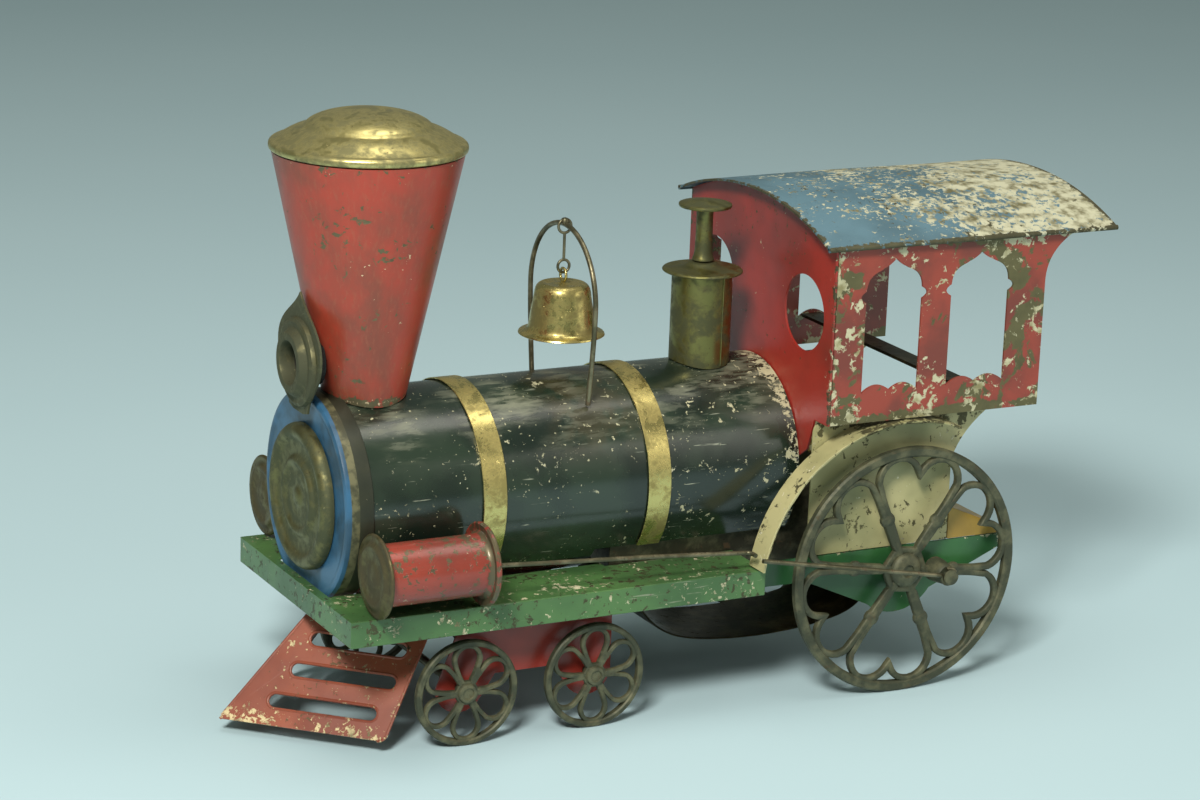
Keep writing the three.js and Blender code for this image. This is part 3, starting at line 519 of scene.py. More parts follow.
def paint(name, main, dark, flakes=0.5, bare=0.5, flake_colour=CREAM, bare_colour=OLIVE, gloss=0.36,
          size=1.0, edges=None, more=None, more_bare_and_shade=None, coat=0.15, streaks=0.0):
    """Old paint on tin: clouded colour, flakes that show the pale ground, spots worn to the metal.

    more gives the places with more flakes; the next one gives the places with more bare metal, and for the
    cream paint it also paints the shade under the cab as olive metal."""
    m = Finish(name)
    colour = m.mix(m.step(m.noise(34, 3), 0.38, 0.64), main, dark)
    fine = m.noise(2.2, 2)
    colour = m.mix(m.times(m.step(fine, 0.55, 0.75), 0.25), colour, dark)
    edge = m.near_edges(*edges) if edges else None

    def patches(blob, cluster, amount, extra):
        places = [] if edge is None else [(edge, 0.13)]
        if extra:
            places.append((extra(m), 0.1))
        return m.patches((blob * size, *RAGGED), (cluster * size, 0.42), 1.0 - 0.17 * amount, *places)

    flaked = patches(2.6, 19, flakes, more)
    colour = m.mix(flaked, colour, m.mix(m.step(m.noise(5), 0.4, 0.7), flake_colour, OLIVE))
    # The worn spots also carry painted shade where a caller's places put it, as under the cab for the
    # cream paint.
    worn = patches(3.2, 26, bare, more_bare_and_shade)
    colour = m.mix(worn, colour, m.mix(m.noise(6), bare_colour, DARK_METAL))
    if streaks:
        line = m.noise(1.0, 2, 0.5, 0, m.stretched((0.06, 1, 1)))
        scratch = m.times(m.step(line, 0.64, 0.7), m.step(m.noise(14), 0.5, 0.6))
        colour = m.mix(m.times(scratch, streaks), colour, rgb(170, 170, 150))
    rough = m.total((flaked, 0.4), (worn, 0.15), (m.noise(9), 0.2), (1.0, gloss - 0.1))
    height = m.total((flaked, -1.0), (worn, -0.7), (fine, 0.25), (m.noise(12, 2), 0.8))
    return m.surface(colour, rough, m.times(worn, 0.55), height, 0.12, 0.55, coat)


def brass(name, bright, tarnish, share=0.5, rough=0.3, size=1.0, dents=0.5, hollow_shade=None):
    """Brass or gilt tin that has tarnished in clouds and spots. The last argument, where given, paints
    shade: it blackens a hollow and dulls its metal.
    """
    m = Finish(name)
    clouds = m.total((m.noise(9 * size, 6, 0.6, 0.6), 0.7), (m.noise(2.4 * size, 4, 0.6), 0.3))
    level = 0.5 + 0.16 * (0.5 - share)
    dull = m.step(clouds, level - 0.07, level + 0.09)
    colour = m.mix(dull, bright, tarnish)
    spot = m.step(m.noise(1.6, 6, 0.7), 0.62, 0.68)
    colour = m.mix(m.times(spot, 0.7), colour, rgb(48, 42, 24))
    pale = m.step(m.noise(2.0, 7, 0.7), 0.66, 0.7)
    colour = m.mix(m.times(pale, 0.5), colour, rgb(190, 184, 140))
    roughness = m.total((dull, 0.26), (spot, 0.2), (m.noise(5), 0.12), (1.0, rough - 0.06))
    metal = m.total((dull, -0.35), (spot, -0.2), (1.0, 0.96))
    # Painted shade: near-black colour and duller metal where the given mask marks a hollow, standing in
    # for the shade inside it.
    if hollow_shade:
        black = hollow_shade(m)
        colour = m.mix(black, colour, rgb(16, 16, 14))
        metal = m.times(metal, m.maths("SUBTRACT", 1.0, black))
    height = m.total((m.noise(7, 3), dents), (spot, -0.4), (m.noise(0.8, 2), 0.1))
    return m.surface(colour, roughness, metal, height, 0.22, 0.5)


def iron(name, base, worn, rust, rough=0.46, metal=0.55):
    """Cast or drawn metal with a dark skin, rubbed paler here and there."""
    m = Finish(name)
    rub = m.step(m.noise(7, 5, 0.6), 0.42, 0.66)
    colour = m.mix(rub, base, worn)
    rusty = m.step(m.noise(3.4, 6, 0.65, 0.4), 0.58, 0.68)
    colour = m.mix(m.times(rusty, 0.7), colour, rust)
    pit = m.step(m.noise(1.0, 4, 0.6), 0.6, 0.7)
    colour = m.mix(m.times(pit, 0.5), colour, rgb(28, 26, 18))
    roughness = m.total((rusty, 0.25), (m.noise(3), 0.2), (1.0, rough - 0.1))
    height = m.total((m.noise(1.4, 3), 0.6), (pit, -0.5), (rusty, 0.3))
    return m.surface(colour, roughness, m.total((rusty, -0.3), (1.0, metal)), height, 0.12, 0.5)


def boiler_paint():
    """Glossy black-green: hazed and streaked on top, flecked with cream, chipped beside the cab."""
    m = Finish("boiler_paint")
    colour = m.mix(m.step(m.noise(30), 0.38, 0.62), rgb(22, 34, 27), rgb(38, 52, 40))
    upper = m.past(2, 101, 9)
    drawn = m.noise(3.2, 5, 0.6, 0.2, m.stretched((0.25, 1, 1)))
    clouded = m.times(upper, m.step(m.noise(24, 2), 0.4, 0.6))
    haze = m.times(m.step(drawn, 0.4, 0.66), clouded)
    colour = m.mix(m.times(haze, 0.7), colour, rgb(132, 136, 116))
    under_bell = m.times(m.between(0, 98, 128, 7), m.step(m.noise(8), 0.35, 0.55))
    brown = m.times(under_bell, m.past(2, 96, 8))
    colour = m.mix(m.times(brown, 0.5), colour, rgb(70, 62, 44))
    rear_half = m.between(0, 36, 128, 26)
    beside_cab = m.past(0, 42, -3)
    chip = m.patches((2.6, *RAGGED), (16, 0.5), 0.955, (rear_half, 0.05), (beside_cab, 0.16))
    fleck = m.times(m.step(m.noise(1.5, 3, 0.6), 0.66, 0.69), m.step(m.noise(20, 2), 0.44, 0.54))
    cream = m.maths("MAXIMUM", chip, fleck)
    colour = m.mix(cream, colour, m.mix(m.noise(4), rgb(206, 202, 168), rgb(150, 148, 116)))
    line = m.noise(0.9, 2, 0.5, 0, m.stretched((0.07, 1, 1)))
    scratch = m.times(m.step(line, 0.66, 0.71), m.step(m.noise(15), 0.5, 0.6))
    colour = m.mix(m.times(scratch, 0.7), colour, rgb(160, 164, 146))
    rough = m.total((cream, 0.35), (haze, 0.25), (m.noise(9), 0.12), (1.0, 0.16))
    height = m.total((cream, -1.0), (scratch, -0.3), (m.noise(14, 2), 1.4), (m.noise(2.5, 2), 0.2))
    return m.surface(colour, rough, 0.0, height, 0.16, 0.5, 0.45)


def front_ring_paint():
    """Blue on the face, worn to grey-olive at the rim, and black-green behind it."""
    m = Finish("front_ring_paint")
    blue = m.mix(m.step(m.noise(14), 0.4, 0.62), rgb(52, 98, 132), rgb(40, 74, 98))
    rim = m.step(m.total((m.past(0, 206.4, -0.5), 0.5), (m.noise(4, 6, 0.65), 0.6)), 0.52, 0.6)
    worn = m.mix(m.step(m.noise(4, 5), 0.4, 0.6), rgb(108, 106, 78), rgb(66, 68, 50))
    back = m.step(m.total((m.past(0, 203.6, -0.8), 0.6), (m.noise(3, 6, 0.65), 0.3)), 0.5, 0.56)
    colour = m.mix(back, m.mix(rim, blue, worn), m.mix(m.noise(6), rgb(30, 38, 30), rgb(58, 60, 44)))
    chip = m.patches((2.4, *RAGGED), (12, 0.4), 0.93)
    colour = m.mix(chip, colour, m.mix(m.noise(5), CREAM, OLIVE))
    rough = m.total((chip, 0.3), (rim, 0.12), (m.noise(7), 0.15), (1.0, 0.3))
    height = m.total((chip, -1.0), (rim, -0.3), (m.noise(10, 2), 1.0))
    return m.surface(colour, rough, m.times(rim, 0.3), height, 0.14, 0.5, 0.1)


def chimney_paint():
    """Red gone brown in drifts, spotted with olive metal, with a rubbed rim and foot."""
    m = Finish("chimney_paint")
    drift = m.step(m.noise(20, 6, 0.62, 0.3, m.stretched((1, 1, 0.6))), 0.34, 0.68)
    colour = m.mix(drift, rgb(168, 60, 42), rgb(126, 64, 48))
    grain = m.noise(1.2, 3, 0.6, 0, m.stretched((1, 1, 0.3)))
    colour = m.mix(m.times(m.step(grain, 0.5, 0.7), 0.3), colour, rgb(150, 92, 66))
    rim = m.times(m.past(2, 194.6, 1.2), 0.9)
    ends = m.maths("MAXIMUM", rim, m.times(m.past(2, 115.6, -1.3), 2.4))
    spot = m.patches((3.4, 7, 0.66, 0.5), (20, 0.5), 0.915, (ends, 0.1))
    colour = m.mix(spot, colour, m.mix(m.noise(4), rgb(124, 116, 86), rgb(76, 70, 50)))
    fleck = m.patches((1.9, 5, 0.62, 0.3), (13, 0.4), 0.93, (ends, 0.05))
    colour = m.mix(fleck, colour, rgb(206, 186, 152))
    rough = m.total((fleck, 0.3), (spot, 0.15), (m.noise(7), 0.2), (1.0, 0.3))
    height = m.total((fleck, -0.8), (spot, -0.8), (m.noise(16, 2), 1.6), (grain, 0.15))
    return m.surface(colour, rough, m.times(spot, 0.45), height, 0.14, 0.5, 0.12)


def cab_side_paint():
    """The cab's sides: dull red worn through in blotches to cream ground and to olive metal."""
    m = Finish("cab_side_paint")
    red = m.mix(m.step(m.noise(22, 5), 0.4, 0.62), rgb(148, 62, 48), rgb(116, 54, 44))
    edge = m.near_edges("cab_side_left", (0, 2), 5.0)
    low = m.past(2, 104.5, -1.5)
    blotch = m.total((m.noise(9, 7, 0.62, 0.5), 1.0), (m.noise(30, 2), 0.5), (edge, 0.05), (low, 0.14))
    olive_share = m.step(blotch, 0.825, 0.85)
    colour = m.mix(olive_share, red, m.mix(m.noise(5), rgb(116, 110, 74), rgb(78, 76, 50)))
    cream_share = m.patches((3.6, *RAGGED), (17, 0.6), 0.9, (edge, 0.06))
    colour = m.mix(cream_share, colour, m.mix(m.step(m.noise(4), 0.4, 0.7), CREAM, rgb(150, 144, 104)))
    rough = m.total((cream_share, 0.25), (olive_share, 0.1), (m.noise(8), 0.15), (1.0, 0.34))
    height = m.total((cream_share, -1.0), (olive_share, -0.6), (m.noise(12, 2), 0.8))
    return m.surface(colour, rough, m.times(olive_share, 0.4), height, 0.12, 0.55, 0.1)


looks = {
    "chimney": chimney_paint(),
    "boiler": boiler_paint(),
    "boiler_front": front_ring_paint(),
    "door": brass("door_brass", rgb(122, 118, 80), rgb(82, 86, 62), 0.65, 0.42),
    # Painted shade: the cup behind the lamp's hole is coloured near black, for the shade inside the
    # hollow.
    "lamp": brass("lamp_brass", rgb(112, 110, 82), rgb(84, 86, 66), 0.8, 0.5,
                  hollow_shade=lambda m: m.past(0, LAMP_X - 0.6, -0.5)),
    "cap": brass("cap_brass", rgb(202, 190, 128), rgb(126, 122, 84), 0.55, 0.3, 1.1, 0.9),
    "bands": brass("band_brass", rgb(214, 198, 128), rgb(150, 138, 84), 0.42, 0.25, 0.7, 0.5),
    "bell": brass("bell_brass", rgb(196, 182, 116), rgb(124, 114, 68), 0.45, 0.22, 0.9, 0.9),
    "dome": brass("dome_brass", rgb(126, 122, 74), rgb(82, 84, 56), 0.6, 0.36),
    "cylinder_face": brass("cylinder_face_brass", rgb(116, 108, 74), rgb(84, 78, 56), 0.65, 0.44),
    "cylinder": paint("cylinder_paint", rgb(148, 60, 46), rgb(118, 52, 42), flakes=0.75, bare=1.35,
                      bare_colour=rgb(124, 112, 84), gloss=0.32, size=0.8, coat=0.25,
                      more_bare_and_shade=lambda m: m.past(0, 167.2, -1.0)),
    "cab_front": paint("cab_front_paint", rgb(156, 42, 32), rgb(124, 40, 32), flakes=0.55, bare=0.75,
                       gloss=0.42, edges=("cab_front", (1, 2), 2.5), size=0.8),
    "roof": paint("roof_paint", rgb(88, 120, 134), rgb(72, 100, 112), flakes=1.15, bare=0.9,
                  flake_colour=rgb(184, 184, 158), bare_colour=rgb(104, 102, 78), gloss=0.55, size=0.9,
                  more=lambda m: m.times(m.past(0, -12, -45), 1.9),
                  more_bare_and_shade=lambda m: m.times(m.near_edges("cab_roof", (0, 1), 3.0), 2.2), coat=0.0),
    "footplate": paint("footplate_paint", rgb(78, 116, 66), rgb(60, 94, 54), flakes=0.25, bare=0.45,
                       bare_colour=rgb(84, 88, 56), size=0.9, edges=("footplate", (0, 1, 2), 1.2),
                       streaks=0.4),
    "frame": paint("frame_paint", rgb(52, 104, 56), rgb(38, 80, 46), flakes=0.4, bare=0.45, size=0.8,
                   edges=("frame_side_left", (0, 2), 1.6)),
    # Painted shade: the tops of the guards and side plates under the cab get more olive metal, which
    # stands for the shade there as well as real wear.
    "cream": paint("cream_paint", rgb(180, 174, 128), rgb(142, 140, 98), flakes=0.75, bare=1.1,
                   flake_colour=rgb(216, 212, 186), bare_colour=rgb(112, 108, 74), gloss=0.5, coat=0.0,
                   more_bare_and_shade=lambda m: m.times(m.past(2, 98, 5), 1.6)),
    "ochre": paint("ochre_paint", rgb(166, 136, 56), rgb(136, 110, 48), flakes=0.3, bare=0.6, gloss=0.5),
    "truck": paint("truck_paint", rgb(150, 48, 36), rgb(112, 40, 30), flakes=0.3, bare=0.6, size=0.8),
    "cowcatcher": paint("cowcatcher_paint", rgb(148, 76, 52), rgb(122, 60, 44), flakes=0.95, bare=0.8,
                        flake_colour=rgb(210, 192, 148), bare_colour=rgb(120, 92, 62), size=0.7,
                        more=lambda m: m.past(2, 8, -4)),
    "wheel": iron("wheel_iron", rgb(62, 66, 50), rgb(98, 98, 74), rgb(78, 66, 44), 0.56, 0.3),
    "wire": iron("wire_steel", rgb(88, 86, 66), rgb(128, 122, 98), rgb(92, 66, 48), 0.4, 0.75),
    "spring": iron("spring_steel", rgb(56, 52, 36), rgb(88, 82, 58), rgb(64, 48, 30), 0.36, 0.8),
    "steel": iron("movement_steel", rgb(70, 68, 56), rgb(112, 108, 88), rgb(82, 60, 38), 0.4, 0.8),
    "train": brass("train_brass", rgb(176, 150, 80), rgb(104, 88, 46), 0.5, 0.34, 0.6, 0.2),
    "cab_side": cab_side_paint(),
}




# ---- chimney
def boiler_top(across):
    """The height of a point that rests on the boiler, at a distance to the side of its middle."""
    return BOILER_Z + math.sqrt((BOILER_RADIUS + 0.4) ** 2 - across**2)


def cone_radius(z):
    return STACK_FOOT_RADIUS + (z - STACK_FOOT) * STACK_SLOPE


def standing_wall(middle_x, radius_at, top, thick, turns, rows=1):
    """A thin round wall that stands on the boiler and meets it all the way round."""
    points, faces = [], []
    for inset in (0, thick):
        for j in range(rows + 1):
            for i in range(turns):
                angle = 2 * math.pi * i / turns
                foot = STACK_FOOT
                for _ in range(12):
                    foot = boiler_top((radius_at(foot) - inset) * math.sin(angle))
                z = foot + (top - foot) * j / rows
                r = radius_at(z) - inset
                points.append((middle_x + r * math.cos(angle), r * math.sin(angle), z))
    inside = turns * (rows + 1)
    steps = [(s * inside + j * turns, turns) for s in (0, 1) for j in range(rows)]
    steps += [(0, inside), (rows * turns, inside)]
    for base, step in steps:
        for i in range(turns):
            a, b = base + i, base + (i + 1) % turns
            faces.append((a, b, b + step, a + step))
    return points, faces


def chimney():
    wall = standing_wall(STACK_X, cone_radius, STACK_TOP, 0.5, 120, 20)
    seam = [(STACK_X - cone_radius(z) - 0.05, 0, z) for z in (116, 140, 170, 195)]
    piece("chimney_cone", join(wall, tube(seam, 0.35, 8)), "chimney", "stack_cone")


def chimney_cap():
    outside = [(32, 0), (32.9, 0.3), (33.1, 1.2), (33, 2.3), (32.3, 3), (31.4, 3.1), (30.4, 3.6),
               (28, 5.2), (25.4, 6.6), (23.2, 7.4), (21.9, 7.7), (21.2, 8.3), (20.6, 9.1), (19, 10.2),
               (16, 11.5), (12, 12.5), (8, 13), (4, 13.3), (0, 13.4)]
    top = soften(outside)
    under = [(r - 0.5, h - 0.6) for r, h in reversed(top) if 0.6 < r < 31.2]
    loop = [*top, (0, 12.7), *under, (31.2, 2), (31.2, 0), (32, 0)]
    shape = lathe(loop, "z", (STACK_X, 0, STACK_TOP + GAP), 144)
    piece("chimney_cap", shape, "cap", "stack_cap")


chimney()
chimney_cap()


# ---- headlamp
def headlamp():
    hole = 7.3
    half = (
        Pen(0, 24)
        .curve((5, 17), (18.5, 14), (18.5, 4), steps=20)
        .curve((18.5, -6), (8.5, -9), (8, -16), steps=20)
        .line(4, -17)
        .points
    )
    outline = half + [(-u, v) for u, v in reversed(half[1:])]
    outline = [(u, v + LAMP_Z) for u, v in outline]
    plate = sheet(outline, cross_place(LAMP_X), [circle(0, LAMP_Z, hole, 48)])
    rings = [(hole, 0.2), (15.2, 0.2), (15.2, 0.9), (14.7, 2.1), (13.6, 2.6), (12.6, 2.3), (11.8, 2.5),
             (11, 3.7), (10, 4.8), (8.6, 5), (7.6, 4.8), (hole, 4.2), (hole, 0.2)]
    cup = [(0, -5.8), (hole + TIN, -5.8), (hole + TIN, 0.4), (hole, 0.4), (hole, -2), (0, -2)]
    middle = (LAMP_X, 0, LAMP_Z)
    shape = join(plate, lathe(rings, "x", middle, 72), lathe(cup, "x", middle, 48))
    piece("lamp", shape, "lamp", "headlamp", bevel=0.12)


headlamp()


# ---- boiler
keep("boiler_shell", "boiler", 0)


def boiler_ends():
    inner = BOILER_RADIUS + GAP
    rear = -8.5
    face = TIN
    loop = [(0, 0), (inner, 0), (inner, rear), (inner + 0.4, rear - 0.1), (inner + TIN, rear + 0.2),
            (inner + TIN, face - 0.8), (inner + 0.5, face + 0.1), (inner - 0.4, face + 0.5),
            (inner - 1.4, face + 0.5), (inner - 2.4, face + 0.1), (inner - 3.2, face), (0, face)]
    shape = lathe(loop, "x", (BOILER_FRONT, 0, BOILER_Z), 128)
    piece("boiler_cap", shape, "boiler_front", "boiler_front")
    steps = [(0, 0), (25, 0), (25, 1.4), (24.5, 2.7), (23.2, 3.9), (21.6, 4.2), (20.2, 3.6),
             (19.2, 2.6), (17.8, 2.3), (15.4, 2.3), (14.2, 2.5), (13.4, 3.3), (12.3, 3.9), (11.2, 3.6),
             (10.2, 2.9), (8.6, 2.7), (7, 2.9), (5.6, 2.7), (3.4, 2.8), (2.2, 3.6), (0, 3.9)]
    rounded = steps[:2] + soften(steps[1:])
    door = lathe(rounded, "x", (BOILER_FRONT + face + GAP, 0, BOILER_Z), 112)
    piece("boiler_door", door, "door", "smokebox_door")
    for node, front, gap_half in (("band_front", 158.5, 0), ("band_rear", 96.3, 52)):
        loop = ring_profile(inner, inner + 0.5, front - BAND_WIDTH, front, 0.15)
        start, sweep = -90 + gap_half, 360 - 2 * gap_half
        hoop = lathe(loop, "x", (0, 0, BOILER_Z), 120, start, sweep)
        piece(node + "_strip", hoop, "bands", node)


boiler_ends()


# ---- bell
def bell():
    half, top = 25, 167.1
    left = [(BELL_X, 21.8, 108.7), (BELL_X, 23, 118), (BELL_X, 24.4, 131)]
    over = [(BELL_X, u, v) for u, v in arc((0, top - half), half, 0, 180, 14)]
    right = [(x, -y, z) for x, y, z in reversed(left)]
    hoop = tube(smooth_path(left + over + right, 5), 0.9)
    blob = [(0, -1.7), (0.9, -1.4), (1.5, -0.6), (1.6, 0.2), (1.1, 1.1), (0, 1.5)]
    hoop = join(hoop, lathe(blob, "z", (BELL_X, 0, top + 0.9), 24))
    piece("bell_hoop_wire", hoop, "wire", "bell_hoop")

    def eye(radius, z, across):
        loop = []
        for u, v in circle(0, 0, radius, 28):
            loop.append((BELL_X, u, z + v) if across else (BELL_X + u, 0, z + v))
        return tube(loop, 0.5, 10, closed=True, up=(1, 0, 0) if across else (0, 1, 0))

    hook_low, bell_eye = 152.4, 149.4
    shank = tube([(BELL_X, 0, hook_low + 2.1), (BELL_X, 0, 164.1)], 0.5, 10)
    hook = join(eye(2.4, 166.4, False), eye(2.2, hook_low, False), shank)
    piece("bell_hook_wire", hook, "wire", "bell_hook")

    outside = [(15, 0.5), (14.7, 1.1), (12.8, 1.5), (11.8, 2.2), (11.4, 4), (10.9, 8), (10.2, 12),
               (9.8, 15), (9.3, 16.8), (8.3, 17.9), (7, 18.3), (5.6, 18.1), (2.4, 18.1), (1.4, 18.5),
               (0, 18.7)]
    inside = [(0, 17.2), (6.4, 17.2), (7.8, 16.8), (8.6, 15.6), (9.3, 12), (10, 8), (10.6, 4),
              (11.4, 1.4), (14.2, 0.1), (15, 0.5)]
    cup = lathe(soften(outside, 1) + soften(inside, 1), "z", (BELL_X, 0, BELL_LIP))
    piece("bell_cup", join(cup, eye(2.2, bell_eye, True)), "bell", "bell")


bell()


# ---- dome and whistle
def dome():
    wall_top = 146.2
    wall = standing_wall(DOME_X, lambda z: 10.7, wall_top, 0.6, 72)
    seam = tube([(DOME_X - 3, 10.35, 114.5), (DOME_X - 3, 10.35, wall_top)], 0.3, 8)
    piece("dome_wall", join(wall, seam), "dome", "dome_body")
    shelf = [(0, GAP), (13.4, GAP), (14.1, 0.5), (14.2, 1), (13.6, 1.5), (11.4, 1.6), (8.6, 1.9),
             (6.4, 2.5), (5.4, 3.2), (4.6, 3.95), (0, 4)]
    shape = lathe(soften(shelf, 1), "z", (DOME_X, 0, wall_top))
    piece("dome_shelf", shape, "dome", "dome_flange")
    stem = [(0, 0), (3.9, 0), (3.8, 0.8), (3.2, 2.2), (3, 6), (2.9, 17.05), (3.2, 18.05), (5.4, 18.65),
            (9, 18.95), (9.4, 19.55), (9.2, 20.35), (7, 20.55), (5.4, 20.95), (3, 21.55), (0, 21.75)]
    shape = lathe(soften(stem, 1), "z", (DOME_X, 0, wall_top + 4 + GAP), 80)
    piece("whistle_stem", shape, "dome", "whistle")


dome()


# ---- cab
def under_roof(radius, y):
    return ROOF_RIDGE - ROOF_RADIUS + math.sqrt(radius**2 - y**2)


def cab():
    wall_top = ROOF_RADIUS - TIN - GAP
    top = [(y, under_roof(wall_top, y)) for y in (CAB_HALF * (1 - i / 20) for i in range(41))]
    arch = arc((0, BOILER_Z), 33.6, 170, 10, 48)
    outline = [*top, (-CAB_HALF, CAB_FOOT), (-42.5, CAB_FOOT), (-38.6, 90), *arch, (38.6, 90),
               (42.5, CAB_FOOT), (CAB_HALF, CAB_FOOT)]
    windows = [circle(side * 32, 137.4, 13.4, 64) for side in (-1, 1)]
    wall = sheet(outline, cross_place(CAB_FRONT - TIN), windows)
    piece("cab_front_wall", wall, "cab_front", "cab_front", bevel=0.15)

    def window(front, rear):
        """A pointed window with a scalloped sill and a notch on each side."""
        sill, notch, spring, apex = 112, 146.2, 148.6, 159
        middle, quarter = (front + rear) / 2, (front - rear) / 4
        return (
            Pen(rear, sill)
            .curve((rear + quarter, sill + 5), (middle, sill + 0.6))
            .curve((front - quarter, sill + 5), (front, sill))
            .line(front, notch - 2)
            .curve((front + 4, notch), (front, notch + 2))
            .line(front, spring)
            .curve((front - 0.5, 154.6), (front - 5, 154.6), (front - 7, 156))
            .curve((middle + 2, 157), (middle, apex))
            .curve((middle - 2, 157), (rear + 7, 156))
            .curve((rear + 5, 154.6), (rear + 0.5, 154.6), (rear, spring))
            .line(rear, notch + 2)
            .curve((rear - 4, notch), (rear, notch - 2))
            .points
        )

    front = CAB_FRONT - TIN - GAP
    eave = under_roof(wall_top, CAB_HALF) - 0.1
    outline = (
        Pen(front, CAB_FOOT)
        .line(front, eave)
        .line(CAB_REAR - 13, eave)
        .curve((CAB_REAR, eave - 6), (CAB_REAR, eave - 18), steps=18)
        .line(CAB_REAR, CAB_FOOT)
        .points
    )
    side = sheet(outline, side_place(CAB_HALF), [window(23.7, 1.2), window(-10.6, -34.2)])
    for name, turned in SIDES:
        shape = turned(side)
        piece(f"cab_{name}_wall", shape, "cab_side", "cab_side_" + name, bevel=0.15)


def roof():
    columns, rows = 60, 48
    points, faces = [], []
    for inset in (0, TIN):
        for i in range(columns + 1):
            x = ROOF_REAR + (ROOF_FRONT - ROOF_REAR) * i / columns
            for j in range(rows + 1):
                y = ROOF_HALF * (1 - 2 * j / rows)
                wave = 0.25 * (1 + math.sin(x / 17 + y / 23)) * (1 - (y / ROOF_HALF) ** 2)
                points.append((x, y, under_roof(ROOF_RADIUS - inset, y) - wave))
    per_skin = (columns + 1) * (rows + 1)
    for s in range(2):
        for i in range(columns):
            for j in range(rows):
                a = s * per_skin + i * (rows + 1) + j
                faces.append((a, a + 1, a + rows + 2, a + rows + 1))
    rim = [i * (rows + 1) for i in range(columns + 1)]
    rim += [columns * (rows + 1) + j for j in range(1, rows + 1)]
    rim += [i * (rows + 1) + rows for i in range(columns - 1, -1, -1)]
    rim += [j for j in range(rows - 1, 0, -1)]
    for a, b in zip(rim, rim[1:] + rim[:1]):
        faces.append((a, b, b + per_skin, a + per_skin))
    eave = under_roof(ROOF_RADIUS - TIN / 2, ROOF_HALF)
    bead = tube([(x, -ROOF_HALF, eave) for x in (ROOF_REAR, 0, ROOF_FRONT)], 0.9)
    shape = join((points, faces), bead, flipped(bead))
    piece("cab_roof_sheet", shape, "roof", "cab_roof")


cab()
roof()
keep("cab_cross_strip", "spring")


# ---- frame and footplate
keep("footplate", "footplate", 0.35)
for side in ("left", "right"):
    keep("wheel_guard_" + side, "cream", 0.2)
    keep("side_plate_" + side, "cream", 0.15)
    keep("frame_side_" + side, "frame", 0.15)
keep("frame_rear", "frame", 0.15)
keep("rear_apron", "ochre", 0.2)


# ---- cylinders and rods
def cylinders():
    length, radius, flange = 38, 10.4, 14.2
    outside = [(1.6, -1), (flange - 0.5, -1), (flange, -0.5), (flange, 0.4), (flange - 0.5, 0.9),
               (radius + 1.2, 0.6), (radius + 0.3, 1.4), (radius, 2.4), (radius, length - 1)]
    loop = [*outside, (radius - TIN, length - 1), (radius - TIN, 0), (1.6, 0), (1.6, -1)]
    barrel = lathe(loop, "x", (CYLINDER_REAR, CYLINDER_Y, CYLINDER_Z), 80)
    stamped = [(0, 0), (flange - 0.4, 0), (flange, 0.4), (flange, 0.9), (flange - 0.6, 1.4), (12.4, 1.3),
               (11.4, 1.6), (10.4, 2.3), (9.4, 2.4), (8.4, 1.9), (7.2, 1.6), (5.2, 1.6), (4.2, 1.9),
               (3, 2.2), (0, 2.3)]
    face_x = CYLINDER_REAR + length - 1 + GAP
    face = lathe(soften(stamped, 1), "x", (face_x, CYLINDER_Y, CYLINDER_Z), 80)
    for side, turned in SIDES:
        piece("cylinder_barrel_" + side, turned(barrel), "cylinder", "cylinder_" + side)
        piece("cylinder_front_" + side, turned(face), "cylinder_face", "cylinder_face_" + side)


def rods():
    """Two wires on each side, end to end at the jog: one turns on the stud, the other one slides."""
    jog_x, jog_z, stud_y = 64, 58.3, 57
    slope = (CYLINDER_Z - 0.8 - jog_z) / (CYLINDER_REAR - jog_x)

    def on_line(x, rise=0.0):
        return (x, CYLINDER_Y, jog_z + (x - jog_x) * slope + rise)

    knots = [(jog_x - 1.4, CYLINDER_Y + 3.6, jog_z - 0.2), (jog_x - 1.2, CYLINDER_Y + 1.6, jog_z - 0.1),
             (jog_x, CYLINDER_Y + 0.2, jog_z), on_line(jog_x + 2), on_line(100, 0.25), on_line(140),
             on_line(CYLINDER_REAR + 9)]
    front_rod = tube(smooth_path(knots), WIRE_RADIUS)
    eye_radius = STUD_NECK + GAP + WIRE_RADIUS
    end_x, end_z = jog_x - 1.4, jog_z - 0.6
    lead = math.atan2(end_z - CRANK_Z, end_x - CRANK_X)
    lead_degrees = math.degrees(lead)
    wrap = arc((CRANK_X, CRANK_Z), eye_radius, lead_degrees + 60, lead_degrees + 360, 26)
    wrap.append((CRANK_X + (eye_radius + 2) * math.cos(lead), CRANK_Z + (eye_radius + 2) * math.sin(lead)))
    wrap.append((end_x, end_z))
    rear_rod = tube([(x, stud_y, z) for x, z in wrap], WIRE_RADIUS)
    for side, turned in SIDES:
        piece("front_rod_" + side, turned(front_rod), "wire", "piston_rod_" + side)
        piece("rear_rod_" + side, turned(rear_rod), "wire", "main_rod_" + side)


cylinders()
rods()


# ---- wheels
def spun(points, angle):
    """The points of a wheel's (radius, across) drawing, turned about the wheel's middle."""
    c, s = math.cos(math.radians(angle)), math.sin(math.radians(angle))
    return [(r * c - t * s, r * s + t * c) for r, t in points]


def loop_half(bow, knots, steps):
    """One side of a cast loop: a round bow that runs on through some knots."""
    path = smooth_path([(*spot, 0) for spot in (bow[-1], *knots)], steps)
    return bow + [(p.x, p.y) for p in path[1:]]


